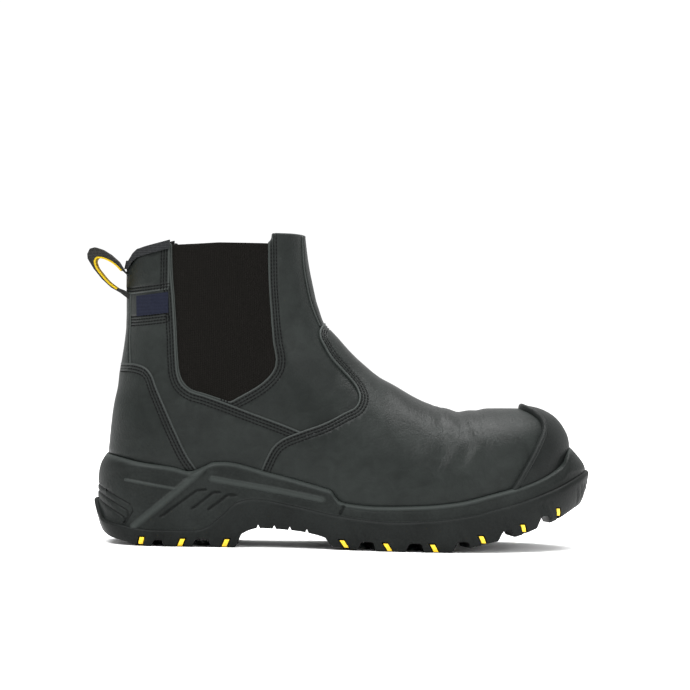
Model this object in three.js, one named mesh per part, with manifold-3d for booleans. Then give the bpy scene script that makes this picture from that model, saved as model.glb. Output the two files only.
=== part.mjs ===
// A black pull-on leather work boot for the right foot, standing empty on its sole.
// Millimetres, +X to the toe, +Z up, -Y the outer side of the foot; the origin is under the heel.
import * as THREE from 'three';
import Module from 'manifold-3d';
import { mergeVertices } from 'three/addons/utils/BufferGeometryUtils.js';

const wasm = await Module();
wasm.setup();

// Driving dimensions of the foot and the shaft
const soleLength = 306;
const heelBehindOrigin = 53.5;
const ballWidth = 112;
const heelWidth = 82;
const heelHeight = 31;
const ballHeight = 21.2;
const toeSpring = 27.6;
const instepHeight = 107;
const shaftHeight = 54;
const shaftWidth = 75;

// Walls, layers and clearances
const leatherWall = 2.2;
const quarterStep = 0.8;
const overlayStep = 1.5;
const capThickness = 2;
const beadHeight = 0.9;
const goreThickness = 1.3;
const goreSetback = 0.6;
const labelThickness = 0.7;
const insoleThickness = 4;
const bindingThickness = 1.4;
const bindingHeight = 3.6;
const clearance = 0.3;
const soleLip = 6.5;
const ribHeight = 0.9;
const grooveDepth = 1.2;

// Lugs, inserts and the pull loop
const lugDepth = 5.5;
const channelWidth = 11;
const channelSweep = 7;
const insertWidth = 2.8;
const insertHeight = 4.4;
const insertDepth = 7;
const loopWidth = 22;

// How finely the forms are divided
const sectionSpacing = 31;
const pointsPerSide = 8;
const outlineSteps = 30;
const endShare = 0.08;
const curveStep = 22;

// The top line of the forefoot and the lower end of each section there.
// along: share of the sole's length; rise: share of the instep height above the footbed;
// foot: where the section ends below; widest: where it is widest, from its upper end down.
const FOOT_SECTIONS = [
  { along: 0.949, rise: 0.12, foot: 0.949, widest: 0.3 },
  { along: 0.946, rise: 0.205, foot: 0.9465, widest: 0.42 },
  { along: 0.935, rise: 0.285, foot: 0.9355, widest: 0.5 },
  { along: 0.917, rise: 0.36, foot: 0.915, widest: 0.55 },
  { along: 0.885, rise: 0.432, foot: 0.88, widest: 0.6 },
  { along: 0.851, rise: 0.474, foot: 0.842, widest: 0.64 },
  { along: 0.793, rise: 0.521, foot: 0.783, widest: 0.68 },
  { along: 0.74, rise: 0.536, foot: 0.724, widest: 0.7 },
  { along: 0.671, rise: 0.609, foot: 0.642, widest: 0.72 },
  { along: 0.598, rise: 0.722, foot: 0.551, widest: 0.72 },
  { along: 0.528, rise: 0.844, foot: 0.436, widest: 0.66 },
  { along: 0.485, rise: 0.95, foot: 0.306, widest: 0.58 },
];

// The front line of the shaft and the back line of the heel and shaft.
// front and back: shares of the sole's length; the levels: 0 footbed, 1 instep, 2 top of the shaft.
const SHAFT_SECTIONS = [
  { front: 0.4555, frontLevel: 0.99, back: 0.191, backLevel: -0.06, widest: 0.5 },
  { front: 0.4455, frontLevel: 1.13, back: 0.093, backLevel: -0.06, widest: 0.46 },
  { front: 0.439, frontLevel: 1.24, back: 0.044, backLevel: -0.06, widest: 0.44 },
  { front: 0.4365, frontLevel: 1.3, back: 0.03, backLevel: 0.07, widest: 0.43 },
  { front: 0.43, frontLevel: 1.46, back: 0.038, backLevel: 0.42, widest: 0.42 },
  { front: 0.4265, frontLevel: 1.55, back: 0.0487, backLevel: 0.632, widest: 0.42 },
  { front: 0.4205, frontLevel: 1.74, back: 0.0635, backLevel: 0.99, widest: 0.44 },
  { front: 0.4155, frontLevel: 1.96, back: 0.063, backLevel: 1.55, widest: 0.46 },
  { front: 0.4135, frontLevel: 2.06, back: 0.073, backLevel: 1.82, widest: 0.46 },
  { front: 0.412, frontLevel: 2.2, back: 0.082, backLevel: 2.1, widest: 0.46 },
];

// The sole's half widths before its ends are rounded, as shares of the ball width or of the heel width.
const SOLE_WIDTHS = [
  { along: 0, outer: 0.488 * heelWidth, inner: 0.488 * heelWidth, middle: 0 },
  { along: 0.11, outer: 0.5 * heelWidth, inner: 0.488 * heelWidth, middle: 0 },
  { along: 0.21, outer: 0.494 * heelWidth, inner: 0.463 * heelWidth, middle: 0 },
  { along: 0.34, outer: 0.357 * ballWidth, inner: 0.304 * ballWidth, middle: 0.01 * ballWidth },
  { along: 0.47, outer: 0.411 * ballWidth, inner: 0.348 * ballWidth, middle: 0.02 * ballWidth },
  { along: 0.58, outer: 0.473 * ballWidth, inner: 0.4375 * ballWidth, middle: 0.03 * ballWidth },
  { along: 0.665, outer: 0.5 * ballWidth, inner: 0.5 * ballWidth, middle: 0.045 * ballWidth },
  { along: 0.76, outer: 0.482 * ballWidth, inner: 0.518 * ballWidth, middle: 0.06 * ballWidth },
  { along: 0.88, outer: 0.429 * ballWidth, inner: 0.518 * ballWidth, middle: 0.075 * ballWidth },
  { along: 1, outer: 0.34 * ballWidth, inner: 0.5 * ballWidth, middle: 0.085 * ballWidth },
];

// Heights along the sole, each as shares of the heel height, the ball height and the toe spring.
const FOOTBED = [
  { along: 0, heel: 1, ball: 0, toe: 0 },
  { along: 0.14, heel: 1, ball: 0, toe: 0 },
  { along: 0.24, heel: 1.03, ball: 0, toe: 0 },
  { along: 0.315, heel: 1.065, ball: 0, toe: 0 },
  { along: 0.37, heel: 1.02, ball: 0, toe: 0 },
  { along: 0.42, heel: 0.935, ball: 0, toe: 0 },
  { along: 0.5, heel: 0.5, ball: 0.41, toe: 0 },
  { along: 0.58, heel: 0, ball: 1, toe: 0 },
  { along: 0.665, heel: 0, ball: 1, toe: 0.02 },
  { along: 0.73, heel: 0, ball: 1, toe: 0.12 },
  { along: 0.786, heel: 0, ball: 1, toe: 0.25 },
  { along: 0.845, heel: 0, ball: 1, toe: 0.44 },
  { along: 0.9, heel: 0, ball: 1, toe: 0.64 },
  { along: 0.95, heel: 0, ball: 1, toe: 0.86 },
];
const PARTING = [
  { along: 0, heel: 0.88, ball: 0, toe: 0 },
  { along: 0.01, heel: 0.66, ball: 0, toe: 0 },
  { along: 0.02, heel: 0.5, ball: 0, toe: 0 },
  { along: 0.045, heel: 0.435, ball: 0, toe: 0 },
  { along: 0.13, heel: 0.33, ball: 0, toe: 0 },
  { along: 0.21, heel: 0.335, ball: 0, toe: 0 },
  { along: 0.23, heel: 0.39, ball: 0, toe: 0 },
  { along: 0.262, heel: 0.635, ball: 0, toe: 0 },
  { along: 0.293, heel: 0.9, ball: 0, toe: 0 },
  { along: 0.325, heel: 0.97, ball: 0, toe: 0 },
  { along: 0.405, heel: 0.85, ball: 0, toe: 0 },
  { along: 0.5, heel: 0, ball: 0.98, toe: 0 },
  { along: 0.6, heel: 0, ball: 0.855, toe: 0 },
  { along: 0.68, heel: 0, ball: 0.855, toe: 0.042 },
  { along: 0.757, heel: 0, ball: 0.855, toe: 0.16 },
  { along: 0.806, heel: 0, ball: 0.855, toe: 0.3 },
  { along: 0.855, heel: 0, ball: 0.855, toe: 0.44 },
  { along: 0.93, heel: 0, ball: 0.855, toe: 0.73 },
  { along: 1, heel: 0, ball: 0.855, toe: 1.1 },
];
const TOP_EDGE = [
  { along: 0, heel: 1.8, ball: 0, toe: 0 },
  { along: 0.03, heel: 1.77, ball: 0, toe: 0 },
  { along: 0.1, heel: 1.64, ball: 0, toe: 0 },
  { along: 0.163, heel: 1.56, ball: 0, toe: 0 },
  { along: 0.197, heel: 1.484, ball: 0, toe: 0 },
  { along: 0.225, heel: 1.584, ball: 0, toe: 0 },
  { along: 0.244, heel: 1.668, ball: 0, toe: 0 },
  { along: 0.262, heel: 1.68, ball: 0, toe: 0 },
  { along: 0.357, heel: 1.477, ball: 0, toe: 0 },
  { along: 0.466, heel: 1.206, ball: 0, toe: 0 },
  { along: 0.478, heel: 1.17, ball: 0, toe: 0 },
  { along: 0.492, heel: 0, ball: 1.434, toe: 0 },
  { along: 0.507, heel: 0, ball: 1.35, toe: 0 },
  { along: 0.565, heel: 0, ball: 1.28, toe: 0 },
  { along: 0.665, heel: 0, ball: 1.28, toe: 0.04 },
  { along: 0.73, heel: 0, ball: 1.28, toe: 0.12 },
  { along: 0.796, heel: 0, ball: 1.28, toe: 0.3 },
  { along: 0.873, heel: 0, ball: 1.28, toe: 0.54 },
  { along: 0.911, heel: 0, ball: 1.28, toe: 0.725 },
  { along: 0.94, heel: 0, ball: 1.28, toe: 0.94 },
  { along: 0.958, heel: 0, ball: 1.28, toe: 1.27 },
  { along: 1, heel: 0, ball: 1.28, toe: 1.4 },
];
const TREAD = [
  { along: 0, heel: 0.6, ball: 0, toe: 0 },
  { along: 0.012, heel: 0.38, ball: 0, toe: 0 },
  { along: 0.022, heel: 0.24, ball: 0, toe: 0 },
  { along: 0.037, heel: 0.15, ball: 0, toe: 0 },
  { along: 0.064, heel: 0.084, ball: 0, toe: 0 },
  { along: 0.09, heel: 0.03, ball: 0, toe: 0 },
  { along: 0.122, heel: 0, ball: 0, toe: 0 },
  { along: 0.289, heel: 0, ball: 0, toe: 0 },
  { along: 0.302, heel: 0.27, ball: 0, toe: 0 },
  { along: 0.337, heel: 0.387, ball: 0, toe: 0 },
  { along: 0.4, heel: 0.36, ball: 0, toe: 0 },
  { along: 0.467, heel: 0.24, ball: 0, toe: 0 },
  { along: 0.482, heel: 0.07, ball: 0, toe: 0 },
  { along: 0.538, heel: 0, ball: 0, toe: 0.02 },
  { along: 0.572, heel: 0, ball: 0, toe: 0 },
  { along: 0.725, heel: 0, ball: 0, toe: 0 },
  { along: 0.763, heel: 0, ball: 0, toe: 0.13 },
  { along: 0.816, heel: 0, ball: 0, toe: 0.27 },
  { along: 0.853, heel: 0, ball: 0, toe: 0.37 },
  { along: 0.9, heel: 0, ball: 0, toe: 0.57 },
  { along: 0.93, heel: 0, ball: 0, toe: 0.7 },
  { along: 0.967, heel: 0, ball: 0, toe: 0.93 },
  { along: 0.982, heel: 0, ball: 0, toe: 1.02 },
  { along: 1, heel: 0, ball: 0, toe: 1.3 },
];

// The side of each sole layer from its lower edge (0) to its upper edge (1).
// lip: share of the sole's lip there.
const MIDSOLE_SIDE = [
  { rise: -0.3, inset: 2.3, lip: 0 },
  { rise: 0.62, inset: 2.3, lip: 0.05 },
  { rise: 0.86, inset: 2.3, lip: 0.24 },
  { rise: 0.96, inset: 2.3, lip: 0.5 },
  { rise: 1, inset: 2.3, lip: 0.68 },
];
const OUTSOLE_SIDE = [
  { rise: 0, inset: 4.6 },
  { rise: 0.16, inset: 2.6 },
  { rise: 0.5, inset: 0.7 },
  { rise: 0.88, inset: 0 },
  { rise: 1.02, inset: 0.9 },
];

// Gaps between the lugs: where each starts and ends at the tread, and the share left at its ceiling.
const LUG_GAPS = [
  { from: 0.122, to: 0.15, depth: 0.75, ceiling: 0.5 },
  { from: 0.204, to: 0.242, depth: 0.9, ceiling: 0.58 },
  { from: 0.538, to: 0.572, depth: 1, ceiling: 0.6 },
  { from: 0.63, to: 0.667, depth: 1, ceiling: 0.55 },
  { from: 0.724, to: 0.762, depth: 1, ceiling: 0.5 },
  { from: 0.817, to: 0.853, depth: 0.95, ceiling: 0.4 },
  { from: 0.901, to: 0.93, depth: 0.85, ceiling: 0.45 },
];

// Where the lug inserts sit along the sole, and how far each leans for its height.
const INSERT_PLACES = [
  { along: 0.097, lean: -0.4 },
  { along: 0.179, lean: -0.4 },
  { along: 0.267, lean: -0.4 },
  { along: 0.509, lean: 0.55 },
  { along: 0.596, lean: 0.55 },
  { along: 0.69, lean: 0.55 },
  { along: 0.787, lean: 0.55 },
  { along: 0.871, lean: 0.55 },
  { along: 0.943, lean: 0.55 },
];

// Side-view outlines of the upper's panels. along: share of the sole's length; level: as for the shaft.
const QUARTER_EDGE = [
  { along: 0.152, level: 2.3 },
  { along: 0.152, level: 1.82 },
  { along: 0.157, level: 1.37 },
  { along: 0.163, level: 0.94 },
  { along: 0.17, level: 0.69 },
  { along: 0.194, level: 0.6 },
  { along: 0.275, level: 0.53 },
  { along: 0.34, level: 0.46 },
  { along: 0.44, level: 0.36 },
];
const VAMP_EDGE = [
  { along: 0.53, level: 1.6 },
  { along: 0.462, level: 1.02 },
  { along: 0.452, level: 0.98 },
  { along: 0.448, level: 0.92 },
  { along: 0.458, level: 0.86 },
  { along: 0.491, level: 0.734 },
  { along: 0.524, level: 0.622 },
  { along: 0.5305, level: 0.57 },
  { along: 0.524, level: 0.517 },
  { along: 0.504, level: 0.488 },
  { along: 0.411, level: 0.372 },
  { along: 0.365, level: 0.299 },
  { along: 0.339, level: 0.155 },
  { along: 0.33, level: -0.3 },
];
const COUNTER_EDGE = [
  { along: -0.1, level: 0.746 },
  { along: 0.096, level: 0.738 },
  { along: 0.112, level: 0.715 },
  { along: 0.125, level: 0.65 },
  { along: 0.169, level: 0.36 },
  { along: 0.21, level: 0.154 },
  { along: 0.235, level: -0.3 },
];
const COLLAR_PANEL_EDGE = [
  { along: -0.1, level: 1.25 },
  { along: 0.065, level: 1.28 },
  { along: 0.127, level: 1.335 },
  { along: 0.152, level: 1.34 },
];
const FRONT_STRIP_EDGE = [
  { along: 0.414, level: 2.3 },
  { along: 0.414, level: 1.9 },
  { along: 0.4185, level: 1.64 },
  { along: 0.426, level: 1.43 },
  { along: 0.438, level: 1.2 },
  { along: 0.458, level: 0.95 },
];
const BACK_STRAP_EDGE = [
  { along: 0.078, level: 1.4 },
  { along: 0.076, level: 1 },
  { along: 0.08, level: 0.7 },
];
const LABEL_OUTLINE = [
  { along: 0.083, level: 1.03 },
  { along: 0.149, level: 1.08 },
  { along: 0.148, level: 1.315 },
  { along: 0.082, level: 1.26 },
];
const GORE_OUTLINE = [
  { along: 0.153, level: 1.845 },
  { along: 0.1545, level: 1.54 },
  { along: 0.16, level: 1.22 },
  { along: 0.168, level: 0.78 },
  { along: 0.1715, level: 0.69 },
  { along: 0.1775, level: 0.645 },
  { along: 0.275, level: 0.537 },
  { along: 0.3505, level: 0.676 },
  { along: 0.361, level: 0.71 },
  { along: 0.3645, level: 0.75 },
  { along: 0.3555, level: 1.1 },
  { along: 0.348, level: 1.83 },
  { along: 0.346, level: 1.89 },
  { along: 0.266, level: 1.883 },
];
const GORE_SIDE_ROWS = 12;
const COLLAR_LINE = [
  { along: 0, level: 1.625 },
  { along: 0.0625, level: 1.63 },
  { along: 0.071, level: 1.707 },
  { along: 0.081, level: 1.761 },
  { along: 0.098, level: 1.794 },
  { along: 0.149, level: 1.872 },
  { along: 0.1495, level: 1.85 },
  { along: 0.3515, level: 1.895 },
  { along: 0.353, level: 2 },
  { along: 0.408, level: 1.99 },
  { along: 0.45, level: 1.95 },
];
const BINDING_LINE = COLLAR_LINE.slice(0, 6);
const CAP_EDGE = [
  { along: 0.826, rise: 0.7 },
  { along: 0.83, rise: 0.51 },
  { along: 0.846, rise: 0.49 },
  { along: 0.868, rise: 0.45 },
  { along: 0.883, rise: 0.41 },
  { along: 0.892, rise: 0.378 },
  { along: 0.895, rise: 0.349 },
  { along: 0.892, rise: 0.307 },
  { along: 0.871, rise: 0.209 },
  { along: 0.8435, rise: 0.103 },
  { along: 0.815, rise: 0 },
  { along: 0.8, rise: -0.1 },
];
const beadWidth = 3;

// Raised ribs and cut grooves on the midsole's side, as lines of a given width.
const SIDE_RIBS = [
  { wide: 4, path: [[0.088, 0.35], [0.214, 1.4], [0.232, 1.56]] },
  { wide: 1.8, path: [[0.244, 1.36], [0.46, 0.98]] },
  { wide: 1.5, path: [[0.06, 1.3], [0.16, 1.14]] },
];
const SIDE_GROOVES = [
  { wide: 2.6, path: [[0.14, 0.58], [0.21, 1.1], [0.228, 1.13]] },
  { wide: 2.6, path: [[0.203, 0.74], [0.242, 1.06], [0.256, 1.08]] },
  { wide: 2.2, path: [[0.236, 0.72], [0.27, 1.02], [0.286, 1.03]] },
  { wide: 1.9, path: [[-0.02, 1.33], [0.08, 0.8], [0.084, 0.7]] },
  { wide: 1.9, path: [[-0.02, 1.17], [0.072, 0.68], [0.074, 0.58]] },
  { wide: 1.9, path: [[-0.02, 1.05], [0.066, 0.56], [0.066, 0.47]] },
  { wide: 1.6, path: [[0.503, 0.7], [0.48, 0.96]] },
];

// The pull loop seen from the side, as shares of the sole's length and shaft levels: outside, then inside.
const LOOP_OUTSIDE = [
  { along: 0.07, level: 1.48 },
  { along: 0.054, level: 1.54 },
  { along: 0.042, level: 1.645 },
  { along: 0.026, level: 1.724 },
  { along: 0.0095, level: 1.78 },
  { along: -0.005, level: 1.806 },
  { along: -0.0147, level: 1.79 },
  { along: -0.0196, level: 1.73 },
  { along: -0.0186, level: 1.674 },
  { along: -0.006, level: 1.56 },
  { along: 0.0105, level: 1.446 },
  { along: 0.029, level: 1.352 },
  { along: 0.048, level: 1.292 },
  { along: 0.07, level: 1.2 },
];
const LOOP_INSIDE = [
  { along: 0.07, level: 1.26 },
  { along: 0.053, level: 1.32 },
  { along: 0.041, level: 1.344 },
  { along: 0.025, level: 1.41 },
  { along: 0.01, level: 1.5 },
  { along: -0.0023, level: 1.594 },
  { along: -0.0045, level: 1.65 },
  { along: -0.0003, level: 1.687 },
  { along: 0.0098, level: 1.687 },
  { along: 0.024, level: 1.66 },
  { along: 0.0405, level: 1.6 },
  { along: 0.07, level: 1.45 },
];

// Places and curves
function alongX(share) {
  return share * soleLength - heelBehindOrigin;
}

function levelZ(level) {
  const foot = Math.min(level, 1);
  const shaft = Math.max(level - 1, 0);
  return heelHeight + instepHeight * foot + shaftHeight * shaft;
}

// A smooth line through a table's rows that doesn't overshoot between them.
function curve(places, values) {
  const last = places.length - 1;
  const rises = [];
  for (let i = 0; i < last; i += 1) {
    rises.push((values[i + 1] - values[i]) / (places[i + 1] - places[i]));
  }
  const slopes = places.map((place, i) => {
    if (i === 0) return rises[0];
    if (i === last) return rises[last - 1];
    const product = rises[i - 1] * rises[i];
    return product <= 0 ? 0 : (2 * product) / (rises[i - 1] + rises[i]);
  });
  return (at) => {
    if (at <= places[0]) return values[0];
    if (at >= places[last]) return values[last];
    let i = 0;
    while (at > places[i + 1]) i += 1;
    const span = places[i + 1] - places[i];
    const t = (at - places[i]) / span;
    const startWeight = (1 + 2 * t) * (1 - t) * (1 - t);
    const endWeight = t * t * (3 - 2 * t);
    const startTurn = span * t * (1 - t) * (1 - t);
    const endTurn = span * t * t * (t - 1);
    const start = startWeight * values[i] + startTurn * slopes[i];
    return start + endWeight * values[i + 1] + endTurn * slopes[i + 1];
  };
}

function heightCurve(rows) {
  const heights = rows.map((row) => row.heel * heelHeight + row.ball * ballHeight + row.toe * toeSpring);
  const height = curve(rows.map((row) => alongX(row.along)), heights);
  height.places = divided(rows.map((row) => alongX(row.along)));
  return height;
}

// The given places with enough more between them that no step is wider than the curve step.
function divided(places) {
  return places.flatMap((place, i) => {
    if (i === places.length - 1) return [place];
    const span = places[i + 1] - place;
    const steps = Math.ceil(span / curveStep);
    return Array.from({ length: steps }, (_, k) => place + (span * k) / steps);
  });
}

const footbed = heightCurve(FOOTBED);
const parting = heightCurve(PARTING);
const topEdge = heightCurve(TOP_EDGE);
const tread = heightCurve(TREAD);
const widthPlaces = SOLE_WIDTHS.map((row) => alongX(row.along));
const outerWidth = curve(widthPlaces, SOLE_WIDTHS.map((row) => row.outer));
const innerWidth = curve(widthPlaces, SOLE_WIDTHS.map((row) => row.inner));
const middleLine = curve(widthPlaces, SOLE_WIDTHS.map((row) => row.middle));
const backLevels = SHAFT_SECTIONS.slice(2);
const backLine = curve(
  backLevels.map((row) => levelZ(row.backLevel)),
  backLevels.map((row) => alongX(row.back)),
);

// The rounding of an end: 0 at the end itself and 1 from the given distance on.
function rounded(distance, reach, fullness) {
  const left = 1 - Math.min(Math.max(distance / reach, 0), 1);
  return (1 - left ** fullness) ** (1 / fullness);
}

function smooth(value) {
  const t = Math.min(Math.max(value, 0), 1);
  return t * t * (3 - 2 * t);
}

// Solids
function solidOf(geometry) {
  const plain = geometry.clone();
  plain.deleteAttribute('normal');
  plain.deleteAttribute('uv');
  const merged = mergeVertices(plain, 1e-4);
  return new wasm.Manifold(new wasm.Mesh({
    numProp: 3,
    vertProperties: Float32Array.from(merged.attributes.position.array),
    triVerts: Uint32Array.from(merged.index.array),
  }));
}

function geometryFrom(points, triangles) {
  const geometry = new THREE.BufferGeometry();
  const numbers = points.flatMap((p) => [p.x, p.y, p.z]);
  geometry.setAttribute('position', new THREE.Float32BufferAttribute(numbers, 3));
  geometry.setIndex(triangles.flat());
  return geometry;
}

// A closed loft through rings of equal count, with a cap on its first and last ring.
function loft(rings) {
  const count = rings[0].length;
  const triangles = [];
  for (let r = 0; r < rings.length - 1; r += 1) {
    for (let i = 0; i < count; i += 1) {
      const a = r * count + i;
      const b = r * count + ((i + 1) % count);
      triangles.push([a, b, b + count], [a, b + count, a + count]);
    }
  }
  const lastRing = (rings.length - 1) * count;
  for (let i = 1; i <= count / 2; i += 1) {
    const left = i - 1;
    const right = (count - i + 1) % count;
    const farLeft = i;
    const farRight = count - i;
    triangles.push([left, right, farLeft], [farLeft, right, farRight]);
    triangles.push([lastRing + left, lastRing + farLeft, lastRing + right]);
    triangles.push([lastRing + farLeft, lastRing + farRight, lastRing + right]);
  }
  const used = triangles.filter(([a, b, c]) => a !== b && b !== c && a !== c);
  return solidOf(geometryFrom(rings.flat(), used));
}

// A slab across the whole boot whose side view is the given outline.
function sideCut(outline, fromY = -ballWidth, toY = ballWidth) {
  const shape = new THREE.Shape(outline.map(([x, z]) => new THREE.Vector2(x, z)));
  const geometry = new THREE.ExtrudeGeometry(shape, { depth: toY - fromY, bevelEnabled: false });
  geometry.rotateX(Math.PI / 2);
  geometry.translate(0, toY, 0);
  return solidOf(geometry);
}

function panelPoints(rows) {
  return rows.map((row) => [alongX(row.along), levelZ(row.level)]);
}

// The side-view line of a height curve, moved up by a shift, between two places.
function sampled(height, shift, from, to) {
  const places = [from, ...height.places.filter((x) => x > from && x < to), to];
  return places.map((x) => [x, height(x) + shift]);
}

const farBack = alongX(-0.3);
const farFront = alongX(1.2);
const farUp = levelZ(3);
const farDown = -heelHeight;

function above(height, shift) {
  return sideCut([...sampled(height, shift, farBack, farFront), [farFront, farUp], [farBack, farUp]]);
}

function below(height, shift) {
  return sideCut([...sampled(height, shift, farBack, farFront), [farFront, farDown], [farBack, farDown]]);
}

// The form of the foot and leg: sections that fan from the toe over the instep to the collar.
const toeReach = 0.22 * soleLength;
const heelReach = 0.46 * heelWidth;
const shaftReach = 0.72 * shaftWidth;
const feather = 0.08 * instepHeight;

function sectionEnds() {
  const rows = FOOT_SECTIONS.map((row) => {
    const topX = alongX(row.along);
    const lowX = alongX(row.foot);
    const top = [topX, footbed(topX) + instepHeight * row.rise];
    return { top, low: [lowX, footbed(lowX) - feather], widest: row.widest };
  });
  for (const row of SHAFT_SECTIONS) {
    const top = [alongX(row.front), levelZ(row.frontLevel)];
    const low = [alongX(row.back), levelZ(row.backLevel)];
    rows.push({ top, low, widest: row.widest });
  }
  return rows;
}

// A point's half width to each side: the foot's own width below, the shaft's oval above.
function sideWidths(x, z) {
  const up = smooth((z - levelZ(0.3)) / (levelZ(0.85) - levelZ(0.3)));
  const forward = smooth((x - alongX(0.4)) / (alongX(0.62) - alongX(0.4)));
  const leg = up * (1 - 0.75 * forward);
  const outer = THREE.MathUtils.lerp(outerWidth(x) - soleLip, shaftWidth / 2, leg);
  const inner = THREE.MathUtils.lerp(innerWidth(x) - soleLip, shaftWidth / 2, leg);
  const reach = THREE.MathUtils.lerp(heelReach, shaftReach, up);
  const back = rounded(x - backLine(z), reach, 2.1);
  const toeX = alongX(FOOT_SECTIONS[0].along);
  const toe = rounded(toeX - x, toeReach, 2.2);
  return { outer, inner, ends: back * toe };
}

function formSection(top, low, widest) {
  const outerSide = [];
  const innerSide = [];
  for (let i = 1; i <= pointsPerSide; i += 1) {
    const t = (1 - Math.cos((Math.PI * i) / pointsPerSide)) / 2;
    const x = THREE.MathUtils.lerp(top[0], low[0], t);
    const z = THREE.MathUtils.lerp(top[1], low[1], t);
    const crown = rounded(t, widest, 2.2);
    const past = Math.max(t - widest, 0) / (1 - widest);
    const tuck = 1 - 0.04 * past * past;
    const { outer, inner, ends } = sideWidths(x, z);
    const reach = crown * tuck * ends;
    const middle = middleLine(x) * (1 - smooth((z - levelZ(0.5)) / (levelZ(1) - levelZ(0.5))));
    outerSide.push(new THREE.Vector3(x, middle - (outer + middle) * reach, z));
    innerSide.push(new THREE.Vector3(x, middle + (inner - middle) * reach, z));
  }
  const middleTop = middleLine(top[0]) * (1 - smooth((top[1] - levelZ(0.5)) / (levelZ(1) - levelZ(0.5))));
  return [...outerSide.reverse(), new THREE.Vector3(top[0], middleTop, top[1]), ...innerSide];
}

function formSections() {
  const rows = sectionEnds();
  const places = rows.map((row, i) => i);
  const column = (pick) => curve(places, rows.map(pick));
  const topX = column((row) => row.top[0]);
  const topZ = column((row) => row.top[1]);
  const lowX = column((row) => row.low[0]);
  const lowZ = column((row) => row.low[1]);
  const widest = column((row) => row.widest);
  const sections = [];
  const addSection = (at) => {
    sections.push(formSection([topX(at), topZ(at)], [lowX(at), lowZ(at)], widest(at)));
  };
  for (let row = 0; row < rows.length - 1; row += 1) {
    const [fromX, fromZ] = rows[row].low;
    const [toX, toZ] = rows[row + 1].low;
    const travel = Math.hypot(toX - fromX, toZ - fromZ);
    const steps = Math.ceil(travel / sectionSpacing);
    for (let i = 0; i < steps; i += 1) addSection(row + i / steps);
  }
  addSection(rows.length - 1);
  return sections;
}

const SECTIONS = formSections();

// Outward directions of the open skin, averaged over the faces that meet at each point.
function skinNormals(sections) {
  const count = sections[0].length;
  const geometry = geometryFrom(sections.flat(), skinTriangles(sections.length, count));
  const merged = mergeVertices(geometry, 1e-3);
  merged.computeVertexNormals();
  const byPlace = new Map();
  const key = (p) => `${p.x.toFixed(2)} ${p.y.toFixed(2)} ${p.z.toFixed(2)}`;
  for (let i = 0; i < merged.attributes.position.count; i += 1) {
    const place = new THREE.Vector3().fromBufferAttribute(merged.attributes.position, i);
    byPlace.set(key(place), new THREE.Vector3().fromBufferAttribute(merged.attributes.normal, i));
  }
  return sections.map((section) => section.map((point) => {
    const rounding = new THREE.Vector3(Math.fround(point.x), Math.fround(point.y), Math.fround(point.z));
    return byPlace.get(key(rounding)) ?? new THREE.Vector3(1, 0, 0);
  }));
}

function skinTriangles(rows, count) {
  const triangles = [];
  for (let r = 0; r < rows - 1; r += 1) {
    for (let i = 0; i < count - 1; i += 1) {
      const a = r * count + i;
      triangles.push([a, a + count + 1, a + count], [a, a + 1, a + count + 1]);
    }
  }
  return triangles;
}

const NORMALS = skinNormals(SECTIONS);

// The form grown outward by a distance, closed underneath and at the top.
function form(growth) {
  const rings = SECTIONS.map((section, s) => section.map((point, i) => (
    point.clone().addScaledVector(NORMALS[s][i], growth)
  )));
  const count = rings[0].length;
  const triangles = skinTriangles(rings.length, count);
  for (let r = 0; r < rings.length - 1; r += 1) {
    const a = r * count;
    const b = r * count + count - 1;
    triangles.push([a, a + count, b], [b, a + count, b + count]);
  }
  for (const [ring, facing] of [[0, 1], [rings.length - 1, -1]]) {
    const start = ring * count;
    for (let i = 0; i < (count - 1) / 2; i += 1) {
      const left = start + i;
      const right = start + count - 1 - i;
      const faces = [[left, left + 1, right], [left + 1, right - 1, right]];
      for (const face of faces) triangles.push(facing < 0 ? face : [face[0], face[2], face[1]]);
    }
  }
  const used = triangles.filter(([a, b, c]) => a !== b && b !== c && a !== c);
  return solidOf(geometryFrom(rings.flat(), used));
}

// The sole's outline in plan
const soleBack = alongX(0);
const soleTip = alongX(1);
const heelEndLip = alongX(0.03) - soleBack;
const toeEndLip = soleTip - alongX(FOOT_SECTIONS[0].along);
const soleToeReach = 0.26 * soleLength;
const soleHeelReach = 0.53 * heelWidth;

function outlineY(x, side) {
  const ends = rounded(x - soleBack, soleHeelReach, 2.1) * rounded(soleTip - x, soleToeReach, 2.2);
  const middle = middleLine(x);
  return side < 0 ? middle - (outerWidth(x) + middle) * ends : middle + (innerWidth(x) - middle) * ends;
}

// Places along the sole: those of the height curve, and closer and closer together in both rounded ends.
function outlinePlaces(height) {
  const isEnd = (share) => share < endShare || share > 1 - endShare;
  const share = (i) => (1 - Math.cos((Math.PI * i) / outlineSteps)) / 2;
  const shares = Array.from({ length: outlineSteps + 1 }, (_, i) => share(i));
  const ends = shares.filter(isEnd).map(alongX);
  const between = height.places.filter((x) => x > alongX(endShare) && x < alongX(1 - endShare));
  return [...ends, ...between].sort((a, b) => a - b);
}

function outline(places) {
  const outer = places.map((x) => new THREE.Vector2(x, outlineY(x, -1)));
  const inner = places.map((x) => new THREE.Vector2(x, outlineY(x, 1)));
  return [...outer, ...inner.slice(1, -1).reverse()];
}

function outwards(points, i) {
  const before = points[(i + points.length - 1) % points.length];
  const after = points[(i + 1) % points.length];
  return new THREE.Vector2(after.y - before.y, before.x - after.x).normalize();
}

function lipAt(direction) {
  const end = direction.x < 0 ? heelEndLip : toeEndLip;
  return soleLip * direction.y * direction.y + end * direction.x * direction.x;
}

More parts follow.
